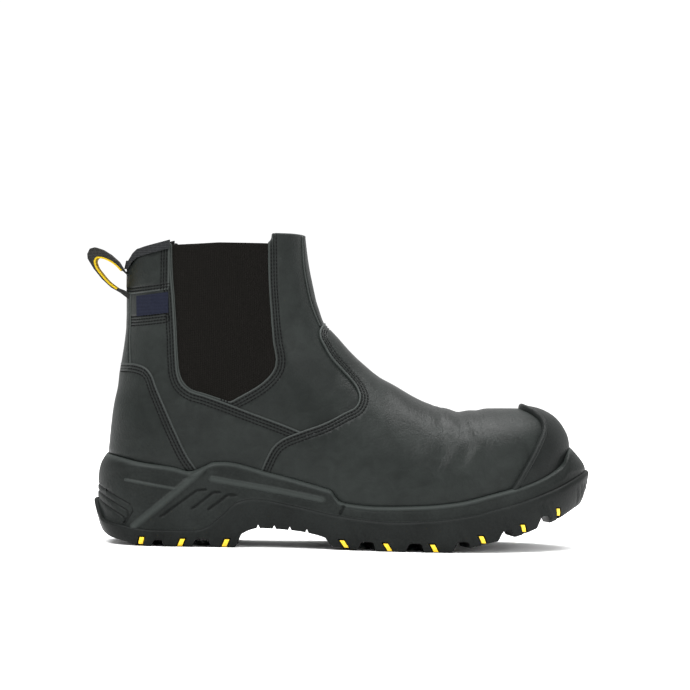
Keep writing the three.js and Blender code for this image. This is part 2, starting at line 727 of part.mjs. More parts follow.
// One layer of the sole as a loft between two height curves, with the side profile of its table.
function soleLayer(places, sideRows, lower, upper, growth) {
  const points = outline(places);
  const directions = points.map((point, i) => outwards(points, i));
  const rings = sideRows.map((row) => points.map((point, i) => {
    const lip = (row.lip ?? 0) * (lipAt(directions[i]) - row.inset);
    const moved = point.clone().addScaledVector(directions[i], growth - row.inset - lip);
    const z = THREE.MathUtils.lerp(lower(moved.x), upper(moved.x), row.rise);
    return new THREE.Vector3(moved.x, moved.y, z);
  }));
  return loft(rings);
}

function intersection(first, ...others) {
  return others.reduce((whole, other) => whole.intersect(other), first);
}

function union(first, ...others) {
  return others.reduce((whole, other) => whole.add(other), first);
}

// Side-view bands of constant width along a path of sole places and shares of the heel height.
function bandCut({ wide, path }) {
  const points = path.map(([along, heel]) => new THREE.Vector2(alongX(along), heel * heelHeight));
  const sideways = points.map((point, i) => {
    const before = points[Math.max(i - 1, 0)];
    const after = points[Math.min(i + 1, points.length - 1)];
    return new THREE.Vector2(before.y - after.y, after.x - before.x).setLength(wide / 2);
  });
  const left = points.map((point, i) => [point.x + sideways[i].x, point.y + sideways[i].y]);
  const right = points.map((point, i) => [point.x - sideways[i].x, point.y - sideways[i].y]);
  return sideCut([...left, ...right.reverse()]);
}

// The closed side-view region of a panel: its edge, then the given far corners.
function region(rows, corners) {
  return sideCut([...panelPoints(rows), ...panelPoints(corners)]);
}

const aboveFootbed = above(footbed, 0);
const aboveSoleEdge = above(topEdge, 2 * clearance);
const shell = form(0);
const overlayForm = form(overlayStep);
const aroundUpper = form(clearance);
const aroundOverlay = form(overlayStep + clearance);
const cornerBackUp = { along: -0.1, level: 2.3 };
const cornerBackDown = { along: -0.1, level: -0.3 };
const cornerFrontUp = { along: 1.2, level: 2.3 };
const cornerFrontDown = { along: 1.2, level: -0.3 };

// The outsole, its lug gaps and the small bars in its lugs
const outsolePlaces = outlinePlaces(tread);
const outsoleBlock = intersection(
  soleLayer(outsolePlaces, OUTSOLE_SIDE, tread, (x) => parting(x) + clearance, 0),
  below(parting, -clearance / 2),
);

function lugGap(row) {
  const from = alongX(row.from);
  const to = alongX(row.to);
  const middle = (from + to) / 2;
  const half = (to - from) / 2;
  const base = Math.min(tread(from), tread(to));
  const ceiling = tread(middle) + lugDepth * row.depth;
  const sweep = middle > alongX(0.4) ? channelSweep : 0;
  const flare = 2 - row.ceiling;
  const rings = [1, 0.5, 0, -0.5, -1].map((share) => {
    const shift = sweep * (2 * Math.abs(share) - 1);
    const y = share * ballWidth;
    return [
      new THREE.Vector3(middle - half * flare + shift, y, base - lugDepth),
      new THREE.Vector3(middle + half * flare + shift, y, base - lugDepth),
      new THREE.Vector3(middle + half * row.ceiling + shift, y, ceiling),
      new THREE.Vector3(middle - half * row.ceiling + shift, y, ceiling),
    ];
  });
  return loft(rings);
}

function middleChannel() {
  const from = alongX(0.55);
  const to = alongX(0.9);
  const upper = sampled(tread, lugDepth * 0.8, from, to);
  return sideCut([...upper, [to, farDown], [from, farDown]], -channelWidth / 2, channelWidth / 2);
}

// A small upright bar set in from the sole's edge, leaning with the lug, grown by a gap on every side.
function insertBar(place, side, growth) {
  const x = alongX(place.along);
  const step = 0.5;
  const edge = new THREE.Vector2(x, outlineY(x, side));
  const turn = outlineY(x + step, side) - outlineY(x - step, side);
  const along = new THREE.Vector2(2 * step, turn).normalize();
  const inwards = new THREE.Vector2(along.y * side, -along.x * side);
  const low = tread(x) + (growth > 0 ? -lugDepth : clearance * 2);
  const high = tread(x) + clearance * 2 + insertHeight + growth;
  const half = insertWidth / 2 + growth;
  const deep = insertDepth + growth;
  const corners = [[-half, -insertDepth], [half, -insertDepth], [half, deep], [-half, deep]];
  const rings = [low, high].map((z) => {
    const lean = (tread(x) - z) * place.lean;
    return corners.map(([sideways, inward]) => {
      const corner = edge.clone().addScaledVector(along, sideways + lean).addScaledVector(inwards, inward);
      return new THREE.Vector3(corner.x, corner.y, z);
    });
  });
  return loft(side < 0 ? rings : rings.map((ring) => [...ring].reverse()));
}

function outsole() {
  let solid = outsoleBlock.subtract(middleChannel());
  for (const row of LUG_GAPS) solid = solid.subtract(lugGap(row));
  for (const place of INSERT_PLACES) {
    solid = solid.subtract(insertBar(place, -1, clearance)).subtract(insertBar(place, 1, clearance));
  }
  return solid;
}

// The midsole, with its ribs and grooves and the hollow that takes the upper
function midsole() {
  const places = outlinePlaces(topEdge);
  const layer = (growth) => soleLayer(places, MIDSOLE_SIDE, parting, topEdge, growth);
  const ribs = union(...SIDE_RIBS.map(bandCut));
  const grooves = union(...SIDE_GROOVES.map(bandCut));
  const raised = layer(ribHeight).intersect(ribs);
  const cut = grooves.subtract(layer(-grooveDepth));
  const hollow = aroundUpper.intersect(above(footbed, -clearance));
  const panelReach = overlayStep + capThickness + beadHeight + 2 * clearance;
  const underPanels = form(panelReach).intersect(above(topEdge, clearance));
  const whole = intersection(union(layer(0), raised), above(parting, clearance / 2));
  return whole.subtract(cut).subtract(hollow.add(underPanels));
}

// The upper: one shell with stepped panels, open at the collar, at the gores and underneath
function collarTop() {
  const points = panelPoints(COLLAR_LINE);
  const start = [farBack, points[0][1]];
  const end = [farFront, points.at(-1)[1]];
  return sideCut([start, ...points, end, [farFront, farDown], [farBack, farDown]]);
}

// The gore's window is open at the collar, so its sides run up past it.
function goreWindow() {
  const sides = GORE_OUTLINE.slice(0, GORE_SIDE_ROWS);
  const start = { along: sides[0].along, level: 2.3 };
  const end = { along: sides.at(-1).along, level: 2.3 };
  return region([start, ...sides, end], []);
}

function upper() {
  const quarter = region(QUARTER_EDGE, [{ along: 0.44, level: -0.3 }, cornerBackDown, cornerBackUp]);
  const overlays = union(
    region(VAMP_EDGE, [cornerFrontDown, { along: 1.2, level: 1.6 }]),
    region(COUNTER_EDGE, [cornerBackDown]),
    region(COLLAR_PANEL_EDGE, [{ along: 0.152, level: 2.3 }, cornerBackUp]),
    region(FRONT_STRIP_EDGE, [{ along: 1.2, level: 0.95 }, cornerFrontUp]),
    region(BACK_STRAP_EDGE, [{ along: -0.1, level: 0.7 }, { along: -0.1, level: 1.4 }]),
  );
  const panels = union(form(quarterStep).intersect(quarter), overlayForm.intersect(overlays));
  const outside = union(shell, panels.intersect(aboveSoleEdge));
  const wallOnly = outside.subtract(form(-leatherWall));
  return intersection(wallOnly, aboveFootbed, collarTop()).subtract(goreWindow());
}

function insole() {
  return intersection(form(-leatherWall - clearance), aboveFootbed, below(footbed, insoleThickness));
}

// An outline in the side view moved inward by a distance, corner by corner.
function shrunk(points, distance) {
  const area = points.reduce((sum, [x, z], i) => {
    const [nextX, nextZ] = points[(i + 1) % points.length];
    return sum + x * nextZ - nextX * z;
  }, 0);
  const turn = Math.sign(area);
  return points.map(([x, z], i) => {
    const [beforeX, beforeZ] = points[(i + points.length - 1) % points.length];
    const [afterX, afterZ] = points[(i + 1) % points.length];
    const coming = new THREE.Vector2(x - beforeX, z - beforeZ).normalize();
    const going = new THREE.Vector2(afterX - x, afterZ - z).normalize();
    const inward = new THREE.Vector2(-coming.y - going.y, coming.x + going.x).setLength(turn);
    const straight = inward.dot(new THREE.Vector2(-coming.y, coming.x).multiplyScalar(turn));
    return [x + (inward.x * distance) / straight, z + (inward.y * distance) / straight];
  });
}

function layerBetween(inside, outside) {
  return form(outside).subtract(form(inside));
}

// One gore, set behind the leather in its window.
function gore(side) {
  const outlinePoints = shrunk(panelPoints(GORE_OUTLINE), clearance);
  const window = side < 0 ? sideCut(outlinePoints, -ballWidth, 0) : sideCut(outlinePoints, 0, ballWidth);
  return layerBetween(-goreSetback - goreThickness, -goreSetback).intersect(window);
}

function sideLabel() {
  const seat = quarterStep + clearance;
  const patch = sideCut(panelPoints(LABEL_OUTLINE), -ballWidth, 0);
  return layerBetween(seat, seat + labelThickness).intersect(patch);
}

// The toe cap over the vamp, with a bead along its edge
function capRegion(shift) {
  const points = CAP_EDGE.map((row) => {
    const x = alongX(row.along);
    return [x + shift, footbed(x) + instepHeight * row.rise];
  });
  return sideCut([...points, [farFront, points.at(-1)[1]], [farFront, points[0][1]]]);
}

function toeCap() {
  const seat = overlayStep + clearance;
  const plain = form(seat + capThickness).intersect(capRegion(0));
  const rim = capRegion(0).subtract(capRegion(beadWidth));
  const bead = form(seat + capThickness + beadHeight).intersect(rim);
  return union(plain, bead).subtract(aroundOverlay).intersect(above(topEdge, 2 * clearance));
}

// The binding folds over the rear top edge of the leather, from gore to gore.
function collarBinding() {
  const inside = -leatherWall - clearance;
  const outside = overlayStep + clearance;
  const line = [[farBack, levelZ(COLLAR_LINE[0].level)], ...panelPoints(BINDING_LINE)];
  const band = (from, to) => sideCut([
    ...line.map(([x, z]) => [x, z + from]),
    ...line.map(([x, z]) => [x, z + to]).reverse(),
  ]);
  const whole = layerBetween(inside - bindingThickness, outside + bindingThickness);
  const leather = layerBetween(inside, outside);
  const fold = whole.intersect(band(-bindingHeight, clearance + bindingThickness));
  return fold.subtract(leather.intersect(band(-2 * bindingHeight, clearance)));
}

function pullLoop() {
  const band = [...panelPoints(LOOP_OUTSIDE), ...panelPoints(LOOP_INSIDE)];
  return sideCut(band, -loopWidth / 2, loopWidth / 2).subtract(aroundOverlay);
}

function lugInsert(place, side) {
  return insertBar(place, side, 0).intersect(outsoleBlock);
}

function named(name, solid, look) {
  const { vertProperties, triVerts } = solid.getMesh();
  const geometry = new THREE.BufferGeometry();
  geometry.setAttribute('position', new THREE.Float32BufferAttribute(vertProperties, 3));
  geometry.setIndex([...triVerts]);
  geometry.computeVertexNormals();
  const mesh = new THREE.Mesh(geometry, new THREE.MeshStandardMaterial(look));
  mesh.name = name;
  return mesh;
}

const leather = { color: 0x25282a, roughness: 0.55, metalness: 0 };
const moulded = { color: 0x2a2c2e, roughness: 0.8, metalness: 0 };
const rubber = { color: 0x1c1d1e, roughness: 0.85, metalness: 0 };
const fabric = { color: 0x2b2725, roughness: 0.95, metalness: 0 };

const labelCloth = { color: 0x1b1f33, roughness: 0.9, metalness: 0 };
const webbing = { color: 0x1d1c1a, roughness: 0.95, metalness: 0 };
const yellow = { color: 0xf0c412, roughness: 0.5, metalness: 0 };

const boot = new THREE.Group();
boot.add(
  named('outsole', outsole(), rubber),
  named('midsole', midsole(), moulded),
  named('upper', upper(), leather),
  named('insole', insole(), fabric),
  named('toe_cap', toeCap(), rubber),
  named('gore_lateral', gore(-1), fabric),
  named('gore_medial', gore(1), fabric),
  named('side_label', sideLabel(), labelCloth),
  named('collar_binding', collarBinding(), fabric),
  named('pull_loop', pullLoop(), webbing),
);
INSERT_PLACES.forEach((place, i) => {
  boot.add(
    named(`lug_insert_lateral_${i + 1}`, lugInsert(place, -1), yellow),
    named(`lug_insert_medial_${i + 1}`, lugInsert(place, 1), yellow),
  );
});

export default boot;
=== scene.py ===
# A black pull-on leather work boot for the right foot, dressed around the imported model.
# Lengths are in millimetres until a mesh is made: +X to the toe, +Z up, -Y the outer side of the foot.
import math

import bmesh
import bpy
import numpy as np
from mathutils import Matrix, Vector
from mathutils.bvhtree import BVHTree


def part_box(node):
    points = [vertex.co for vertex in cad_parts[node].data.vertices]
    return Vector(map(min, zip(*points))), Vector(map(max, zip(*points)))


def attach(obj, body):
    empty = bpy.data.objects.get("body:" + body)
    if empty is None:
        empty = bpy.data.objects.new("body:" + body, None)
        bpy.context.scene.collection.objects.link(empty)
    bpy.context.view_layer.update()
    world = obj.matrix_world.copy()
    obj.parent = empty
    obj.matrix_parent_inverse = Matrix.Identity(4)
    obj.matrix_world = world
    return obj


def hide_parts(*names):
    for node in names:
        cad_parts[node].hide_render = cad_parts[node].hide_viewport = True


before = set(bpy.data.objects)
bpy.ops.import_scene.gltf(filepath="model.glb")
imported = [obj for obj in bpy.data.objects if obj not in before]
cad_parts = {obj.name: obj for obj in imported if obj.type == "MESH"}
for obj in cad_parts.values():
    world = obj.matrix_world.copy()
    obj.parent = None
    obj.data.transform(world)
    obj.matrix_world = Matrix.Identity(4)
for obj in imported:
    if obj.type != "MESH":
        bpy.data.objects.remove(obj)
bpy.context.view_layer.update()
MILLIMETRE = 0.001

# Driving dimensions, the same as the solids'
SOLE_LENGTH = 306
HEEL_BEHIND = 53.5
BALL_WIDTH = 112
HEEL_WIDTH = 82
HEEL_HEIGHT = 31
BALL_HEIGHT = 21.2
TOE_SPRING = 27.6
INSTEP_HEIGHT = 107
SHAFT_HEIGHT = 54
SHAFT_WIDTH = 75
LEATHER_WALL = 2.2
QUARTER_STEP = 0.8
OVERLAY_STEP = 1.5
CAP_LIFT = 3.8
BEAD_HEIGHT = 0.9
SOLE_LIP = 6.5
CLEARANCE = 0.3

# The form's sections from the toe over the instep to the collar: upper end, lower end and widest place.
# Places are shares of the sole's length. A rise is a share of the instep height above the footbed.
FOOT_SECTIONS = [
    (0.949, 0.12, 0.949, 0.3), (0.946, 0.205, 0.9465, 0.42), (0.935, 0.285, 0.9355, 0.5),
    (0.917, 0.36, 0.915, 0.55), (0.885, 0.432, 0.88, 0.6), (0.851, 0.474, 0.842, 0.64),
    (0.793, 0.521, 0.783, 0.68), (0.74, 0.536, 0.724, 0.7), (0.671, 0.609, 0.642, 0.72),
    (0.598, 0.722, 0.551, 0.72), (0.528, 0.844, 0.436, 0.66), (0.485, 0.95, 0.306, 0.58),
]
# Front place and level, back place and level, widest place. Levels: 0 footbed, 1 instep, 2 top of the shaft.
SHAFT_SECTIONS = [
    (0.4555, 0.99, 0.191, -0.06, 0.5), (0.4455, 1.13, 0.093, -0.06, 0.46), (0.439, 1.24, 0.044, -0.06, 0.44),
    (0.4365, 1.3, 0.03, 0.07, 0.43), (0.43, 1.46, 0.038, 0.42, 0.42), (0.4265, 1.55, 0.0487, 0.632, 0.42),
    (0.4205, 1.74, 0.0635, 0.99, 0.44), (0.4155, 1.96, 0.063, 1.55, 0.46), (0.4135, 2.06, 0.073, 1.82, 0.46),
    (0.412, 2.2, 0.082, 2.1, 0.46),
]
# The sole's half widths before its ends are rounded: place, outer, inner, middle.
SOLE_WIDTHS = [
    (0, 0.488 * HEEL_WIDTH, 0.488 * HEEL_WIDTH, 0), (0.11, 0.5 * HEEL_WIDTH, 0.488 * HEEL_WIDTH, 0),
    (0.21, 0.494 * HEEL_WIDTH, 0.463 * HEEL_WIDTH, 0),
    (0.34, 0.357 * BALL_WIDTH, 0.304 * BALL_WIDTH, 0.01 * BALL_WIDTH),
    (0.47, 0.411 * BALL_WIDTH, 0.348 * BALL_WIDTH, 0.02 * BALL_WIDTH),
    (0.58, 0.473 * BALL_WIDTH, 0.4375 * BALL_WIDTH, 0.03 * BALL_WIDTH),
    (0.665, 0.5 * BALL_WIDTH, 0.5 * BALL_WIDTH, 0.045 * BALL_WIDTH),
    (0.76, 0.482 * BALL_WIDTH, 0.518 * BALL_WIDTH, 0.06 * BALL_WIDTH),
    (0.88, 0.429 * BALL_WIDTH, 0.518 * BALL_WIDTH, 0.075 * BALL_WIDTH),
    (1, 0.34 * BALL_WIDTH, 0.5 * BALL_WIDTH, 0.085 * BALL_WIDTH),
]
# Heights along the sole: place, then shares of the heel height, the ball height and the toe spring.
FOOTBED = [
    (0, 1, 0, 0), (0.14, 1, 0, 0), (0.24, 1.03, 0, 0), (0.315, 1.065, 0, 0), (0.37, 1.02, 0, 0),
    (0.42, 0.935, 0, 0), (0.5, 0.5, 0.41, 0), (0.58, 0, 1, 0), (0.665, 0, 1, 0.02), (0.73, 0, 1, 0.12),
    (0.786, 0, 1, 0.25), (0.845, 0, 1, 0.44), (0.9, 0, 1, 0.64), (0.95, 0, 1, 0.86),
]
PARTING = [
    (0, 0.88, 0, 0), (0.01, 0.66, 0, 0), (0.02, 0.5, 0, 0), (0.045, 0.435, 0, 0), (0.13, 0.33, 0, 0),
    (0.21, 0.335, 0, 0), (0.23, 0.39, 0, 0), (0.262, 0.635, 0, 0), (0.293, 0.9, 0, 0), (0.325, 0.97, 0, 0),
    (0.405, 0.85, 0, 0), (0.5, 0, 0.98, 0), (0.6, 0, 0.855, 0), (0.68, 0, 0.855, 0.042),
    (0.757, 0, 0.855, 0.16), (0.806, 0, 0.855, 0.3), (0.855, 0, 0.855, 0.44), (0.93, 0, 0.855, 0.73),
    (1, 0, 0.855, 1.1),
]
TOP_EDGE = [
    (0, 1.8, 0, 0), (0.03, 1.77, 0, 0), (0.1, 1.64, 0, 0), (0.163, 1.56, 0, 0), (0.197, 1.484, 0, 0),
    (0.225, 1.584, 0, 0), (0.244, 1.668, 0, 0), (0.262, 1.68, 0, 0), (0.357, 1.477, 0, 0),
    (0.466, 1.206, 0, 0), (0.478, 1.17, 0, 0), (0.492, 0, 1.434, 0), (0.507, 0, 1.35, 0),
    (0.565, 0, 1.28, 0), (0.665, 0, 1.28, 0.04), (0.73, 0, 1.28, 0.12), (0.796, 0, 1.28, 0.3),
    (0.873, 0, 1.28, 0.54), (0.911, 0, 1.28, 0.725), (0.94, 0, 1.28, 0.94), (0.958, 0, 1.28, 1.27),
    (1, 0, 1.28, 1.4),
]
TREAD = [
    (0, 0.6, 0, 0), (0.012, 0.38, 0, 0), (0.022, 0.24, 0, 0), (0.037, 0.15, 0, 0), (0.064, 0.084, 0, 0),
    (0.09, 0.03, 0, 0), (0.122, 0, 0, 0), (0.289, 0, 0, 0), (0.302, 0.27, 0, 0), (0.337, 0.387, 0, 0),
    (0.4, 0.36, 0, 0), (0.467, 0.24, 0, 0), (0.482, 0.07, 0, 0), (0.538, 0, 0, 0.02), (0.572, 0, 0, 0),
    (0.725, 0, 0, 0), (0.763, 0, 0, 0.13), (0.816, 0, 0, 0.27), (0.853, 0, 0, 0.37), (0.9, 0, 0, 0.57),
    (0.93, 0, 0, 0.7), (0.967, 0, 0, 0.93), (0.982, 0, 0, 1.02), (1, 0, 0, 1.3),
]

# Side-view outlines in millimetres: across the boot, then up.
VAMP_LINE = [
    (95, 141.5), (87.1, 137.7), (85, 135.6), (83.7, 132.7), (83.7, 129.1), (86.7, 122.8), (91.1, 115.8),
    (96.8, 109.5), (102.6, 103.2), (106.9, 97.6), (108.8, 92), (106.9, 86.4), (100.8, 83.2), (88.6, 76.9),
    (72.3, 70.8), (62.1, 66.2), (58.1, 63), (53.1, 54.7), (50.2, 47.6), (46, 30), (45, 0),
]
COUNTER_LINE = [
    (-70, 111.4), (-38.5, 110.8), (-24.2, 110), (-20.2, 108.1), (-17.2, 104.7), (-14.2, 97.4), (-8, 83.2),
    (-1.8, 69.5), (6.3, 53.8), (10.8, 47.5), (18, 30), (20, 0),
]
QUARTER_LINE = [
    (-7.1, 215), (-7.1, 182.3), (-6.4, 167.2), (-4.7, 150.2), (-3.5, 133.2), (-2.2, 114.2), (-1.1, 104.8),
    (0.8, 100.1), (5.6, 95.7), (15, 92.6), (30.4, 87.3), (39.3, 84), (73, 71.7), (95, 62),
]
COLLAR_PANEL_LINE = [(-70, 150.6), (-35, 152.6), (-20, 154.4), (-7, 156.4)]
FRONT_STRIP_LINE = [
    (72.2, 215), (72.2, 186.5), (73.2, 172.3), (75.2, 161), (78.2, 149), (82.6, 138), (84, 135),
]
BACK_STRAP_LINE = [(-31, 156), (-31.4, 140), (-31.2, 125), (-30, 106)]
GORE_LINE = [
    (-6.6, 215), (-6.6, 182.3), (-5.9, 167.2), (-4.3, 150.2), (-3, 133.2), (-1.6, 114.2), (-0.3, 105.4),
    (1.6, 101), (5.9, 96.6), (15.2, 93.5), (30.7, 88.6), (53.3, 103.7), (55.5, 106.3), (57.4, 109.8),
    (56.1, 126.6),
    (54.6, 143.5), (53.1, 162.6), (52.4, 183.3), (52.4, 215),
]
LABEL_ROWS = [(-60, 133.5), (-33, 136.2), (-20, 137.6), (-9.5, 139)]
COLLAR_LINE = [
    (-70, 168), (-35.5, 168.6), (-33.2, 174), (-30.4, 178), (-27.2, 180.8), (-22.4, 182.6), (-15, 184.4),
    (-7.1, 185.4), (-6.2, 183.8), (9.3, 184.7), (27.8, 185.9), (52.6, 186.3), (54.6, 187.5), (54.8, 191.6),
    (57, 192),
    (71.3, 191.6), (80, 190), (100, 186),
]
CAP_LINE = [
    (193, 100), (200.4, 85.6), (205.3, 85.2), (212, 83.2), (216.8, 80.5), (219.4, 78.2), (220.4, 75.3),
    (219.5, 70.6), (217, 65.3), (212.9, 57.7), (208.3, 50), (204.6, 43.4), (201.2, 37.9), (194, 26),
    (188, 10),
]

# The midsole's side: below its shoulder, shares of the way up; then shares down, of the lip, and a bulge
MIDSOLE_WALL = (-0.12, 0.0, 0.03, 0.07, 0.2, 0.35, 0.5, 0.65, 0.8, 0.92)
MIDSOLE_FLARE = (0.6, 0.5, 0.35, 0.0, 0.0, 0.0, 0.0, 0.0, 0.0, 0.0)
MIDSOLE_SHOULDER = [
    (1, 0, 0), (0.8, 0.01, 0), (0.66, 0.025, -0.15), (0.56, 0.04, -0.4), (0.46, 0.06, -0.1),
    (0.36, 0.1, 0.35),
    (0.26, 0.15, 0.5), (0.17, 0.24, 0.45), (0.09, 0.37, 0.3), (0.03, 0.52, 0.1), (0, 0.68, 0),
    (0.04, 0.85, 0),
    (0.25, 0.98, 0),
]
MIDSOLE_INSET = 2.3
# The shoulder over the sole's two ends: the share of the lip at its top, and how fast it falls away
TOE_SHOULDER = (0.73, 1.35)
HEEL_SHOULDER = (0.8, 5)
OUTSOLE_SIDE = [
    (0, 4.6), (0.015, 3.9), (0.05, 3.3), (0.1, 2.9), (0.16, 2.5), (0.24, 1.95), (0.32, 1.5), (0.41, 1.1),
    (0.5, 0.75),
    (0.6, 0.42), (0.7, 0.2), (0.79, 0.05), (0.87, 0), (0.94, 0.25), (0.99, 0.9), (1.01, 1.8), (1.0, 3.2),
]
# Lines in relief on the midsole's sides, in the side view, with the profile each one has across it
RIDGE = [(0, 1.2), (1.3, 1.15), (2.1, 0.75), (2.9, 0)]
GROOVE = [(0, -1.2), (0.45, -1.1), (0.95, -0.35), (1.5, 0)]
FINE_GROOVE = [(0, -0.75), (0.3, -0.65), (0.75, -0.15), (1.1, 0)]
FINE_RIB = [(0, 0.85), (0.4, 0.75), (0.9, 0.15), (1.3, 0)]
STRIP = [(0, 0.45), (1.5, 0.45), (1.9, 0.15), (2.2, -0.25), (2.8, 0)]
MIDSOLE_LINES = [
    (RIDGE, [(-27, 11.5), (-25.6, 12.9), (-8, 27.8), (10.9, 44.1), (17.5, 51.5)]),
    (GROOVE, [(-10.4, 18.1), (11.5, 34.7), (17.3, 35)]),
    (GROOVE, [(8.8, 23.4), (21.4, 33.5), (25.4, 33.6)]),
    (GROOVE, [(18.6, 23), (30.3, 32.1), (35.2, 31.7)]),
    (FINE_GROOVE, [(-56, 38.4), (-49, 34.9), (-28.6, 24.7), (-27.1, 23.4), (-28, 20.3), (-33, 12)]),
    (FINE_GROOVE, [(-56, 34.5), (-48.9, 30.7), (-31.4, 21.4), (-29.9, 20.1), (-31, 17), (-34.5, 12)]),
    (FINE_GROOVE, [(-56, 30), (-48.4, 25.8), (-34, 17.6), (-32.6, 16.4), (-33.2, 13.6)]),
    (FINE_RIB, [(-32.5, 40.1), (-1.8, 35.3)]),
    (STRIP, [(20.5, 41.6), (50, 36.9), (87.6, 30.4)]),
    (GROOVE, [(91, 40), (93.6, 35.4), (101.5, 28.7), (98.6, 22)]),
]
# Gaps between the lugs: from, to, depth, share of the width left at the ceiling
LUG_GAPS = [
    (0.122, 0.15, 0.75, 0.5), (0.204, 0.242, 0.9, 0.58), (0.538, 0.572, 1, 0.6), (0.63, 0.667, 1, 0.55),
    (0.724, 0.762, 1, 0.5), (0.817, 0.853, 0.95, 0.4), (0.901, 0.93, 0.85, 0.45),
]
# The bars in the lugs: place and lean
INSERTS = (
    (0.097, -0.4), (0.179, -0.4), (0.267, -0.4), (0.509, 0.55), (0.596, 0.55), (0.69, 0.55), (0.787, 0.55),
    (0.871, 0.55), (0.943, 0.55),
)
ARCH_NOTCHES = (0.336, 0.368, 0.399, 0.433)
LUG_DEPTH = 5.5
CHANNEL_WIDTH = 11
CHANNEL_SWEEP = 7
INSERT_WIDTH = 2.8
INSERT_HEIGHT = 4.4
INSERT_DEPTH = 7
SLOT_ROOM = 0.8


# Places and curves
def along_x(share):
    return np.asarray(share) * SOLE_LENGTH - HEEL_BEHIND


def level_z(level):
    above = np.maximum(np.asarray(level) - 1, 0)
    return HEEL_HEIGHT + INSTEP_HEIGHT * np.minimum(level, 1) + SHAFT_HEIGHT * above


def curve(places, values):
    """A smooth line through the values that doesn't overshoot between them."""
    places = np.asarray(places, float)
    values = np.asarray(values, float)
    rises = np.diff(values) / np.diff(places)
    product = rises[:-1] * rises[1:]
    total = rises[:-1] + rises[1:]
    inner = np.where(product > 0, 2 * product / np.where(product > 0, total, 1), 0)
    slopes = np.concatenate([rises[:1], inner, rises[-1:]])

    def value(at):
        at = np.clip(at, places[0], places[-1])
        i = np.clip(np.searchsorted(places, at, side="right") - 1, 0, len(places) - 2)
        span = places[i + 1] - places[i]
        t = (at - places[i]) / span
        start = (1 + 2 * t) * (1 - t) ** 2 * values[i] + span * t * (1 - t) ** 2 * slopes[i]
        return start + t * t * (3 - 2 * t) * values[i + 1] + span * t * t * (t - 1) * slopes[i + 1]

    return value


def height_curve(rows):
    heights = [heel * HEEL_HEIGHT + ball * BALL_HEIGHT + toe * TOE_SPRING for _, heel, ball, toe in rows]
    return curve(along_x([row[0] for row in rows]), heights)


def rounded(distance, reach, fullness):
    """The rounding of an end: 0 at the end itself and 1 from the given distance on."""
    left = 1 - np.clip(distance / reach, 0, 1)
    return np.maximum(1 - left ** fullness, 0) ** (1 / fullness)


def smooth(value):
    t = np.clip(value, 0, 1)
    return t * t * (3 - 2 * t)


def mix(a, b, t):
    return a + (b - a) * t


footbed = height_curve(FOOTBED)
parting = height_curve(PARTING)
top_edge = height_curve(TOP_EDGE)
tread = height_curve(TREAD)
width_places = along_x([row[0] for row in SOLE_WIDTHS])
outer_width = curve(width_places, [row[1] for row in SOLE_WIDTHS])
inner_width = curve(width_places, [row[2] for row in SOLE_WIDTHS])
middle_line = curve(width_places, [row[3] for row in SOLE_WIDTHS])
back_rows = SHAFT_SECTIONS[2:]
back_line = curve([level_z(row[3]) for row in back_rows], [along_x(row[2]) for row in back_rows])

# The form of the foot and the leg
TOE_REACH = 0.22 * SOLE_LENGTH
HEEL_REACH = 0.46 * HEEL_WIDTH
SHAFT_REACH = 0.72 * SHAFT_WIDTH
FEATHER = 0.08 * INSTEP_HEIGHT
FORM_SPACING = 2.4
FORM_POINTS = 52


def section_ends():
    """Each section's upper end, lower end and widest place, as one array."""
    rows = []
    for along, rise, foot, widest in FOOT_SECTIONS:
        top_x = along_x(along)
        low_x = along_x(foot)
        rows.append((top_x, footbed(top_x) + INSTEP_HEIGHT * rise, low_x, footbed(low_x) - FEATHER, widest))
    for front, front_level, back, back_level, widest in SHAFT_SECTIONS:
        rows.append((along_x(front), level_z(front_level), along_x(back), level_z(back_level), widest))
    return np.array(rows, float)


def side_widths(x, z):
    up = smooth((z - level_z(0.3)) / (level_z(0.85) - level_z(0.3)))
    forward = smooth((x - along_x(0.4)) / (along_x(0.62) - along_x(0.4)))
    leg = up * (1 - 0.75 * forward)
    outer = mix(outer_width(x) - SOLE_LIP, SHAFT_WIDTH / 2, leg)
    inner = mix(inner_width(x) - SOLE_LIP, SHAFT_WIDTH / 2, leg)
    back = rounded(x - back_line(z), mix(HEEL_REACH, SHAFT_REACH, up), 2.1)
    toe = rounded(along_x(FOOT_SECTIONS[0][0]) - x, TOE_REACH, 2.2)
    return outer, inner, back * toe


def form_grid():
    """The form's points as rows of sections, from the outer side over the top to the inner side."""
    ends = section_ends()
    places = np.arange(len(ends))
    columns = [curve(places, ends[:, i]) for i in range(5)]
    fine = np.linspace(0, len(ends) - 1, 4000)
    ends_fine = np.stack([column(fine) for column in columns], axis=1)
    steps = np.maximum(
        np.hypot(np.diff(ends_fine[:, 0]), np.diff(ends_fine[:, 1])),
        np.hypot(np.diff(ends_fine[:, 2]), np.diff(ends_fine[:, 3])),
    )
    travel = np.concatenate([[0], np.cumsum(steps)])
    count = int(travel[-1] / FORM_SPACING)
    at = np.interp(np.linspace(0, travel[-1], count), travel, fine)
    top_x, top_z, low_x, low_z, widest = [column(at)[:, None] for column in columns]
    side = np.linspace(-1, 1, 2 * FORM_POINTS + 1)[None, :]
    t = (1 - np.cos(np.pi * np.abs(side))) / 2
    x = mix(top_x, low_x, t)
    z = mix(top_z, low_z, t)
    past = np.maximum(t - widest, 0) / (1 - widest)
    outer, inner, ends_round = side_widths(x, z)
    reach = rounded(t, widest, 2.2) * (1 - 0.04 * past ** 2) * ends_round
    middle = middle_line(x) * (1 - smooth((z - level_z(0.5)) / (level_z(1) - level_z(0.5))))
    y = np.where(side < 0, middle - (outer + middle) * reach, middle + (inner - middle) * reach)
    return np.stack([x, y, z], axis=2)


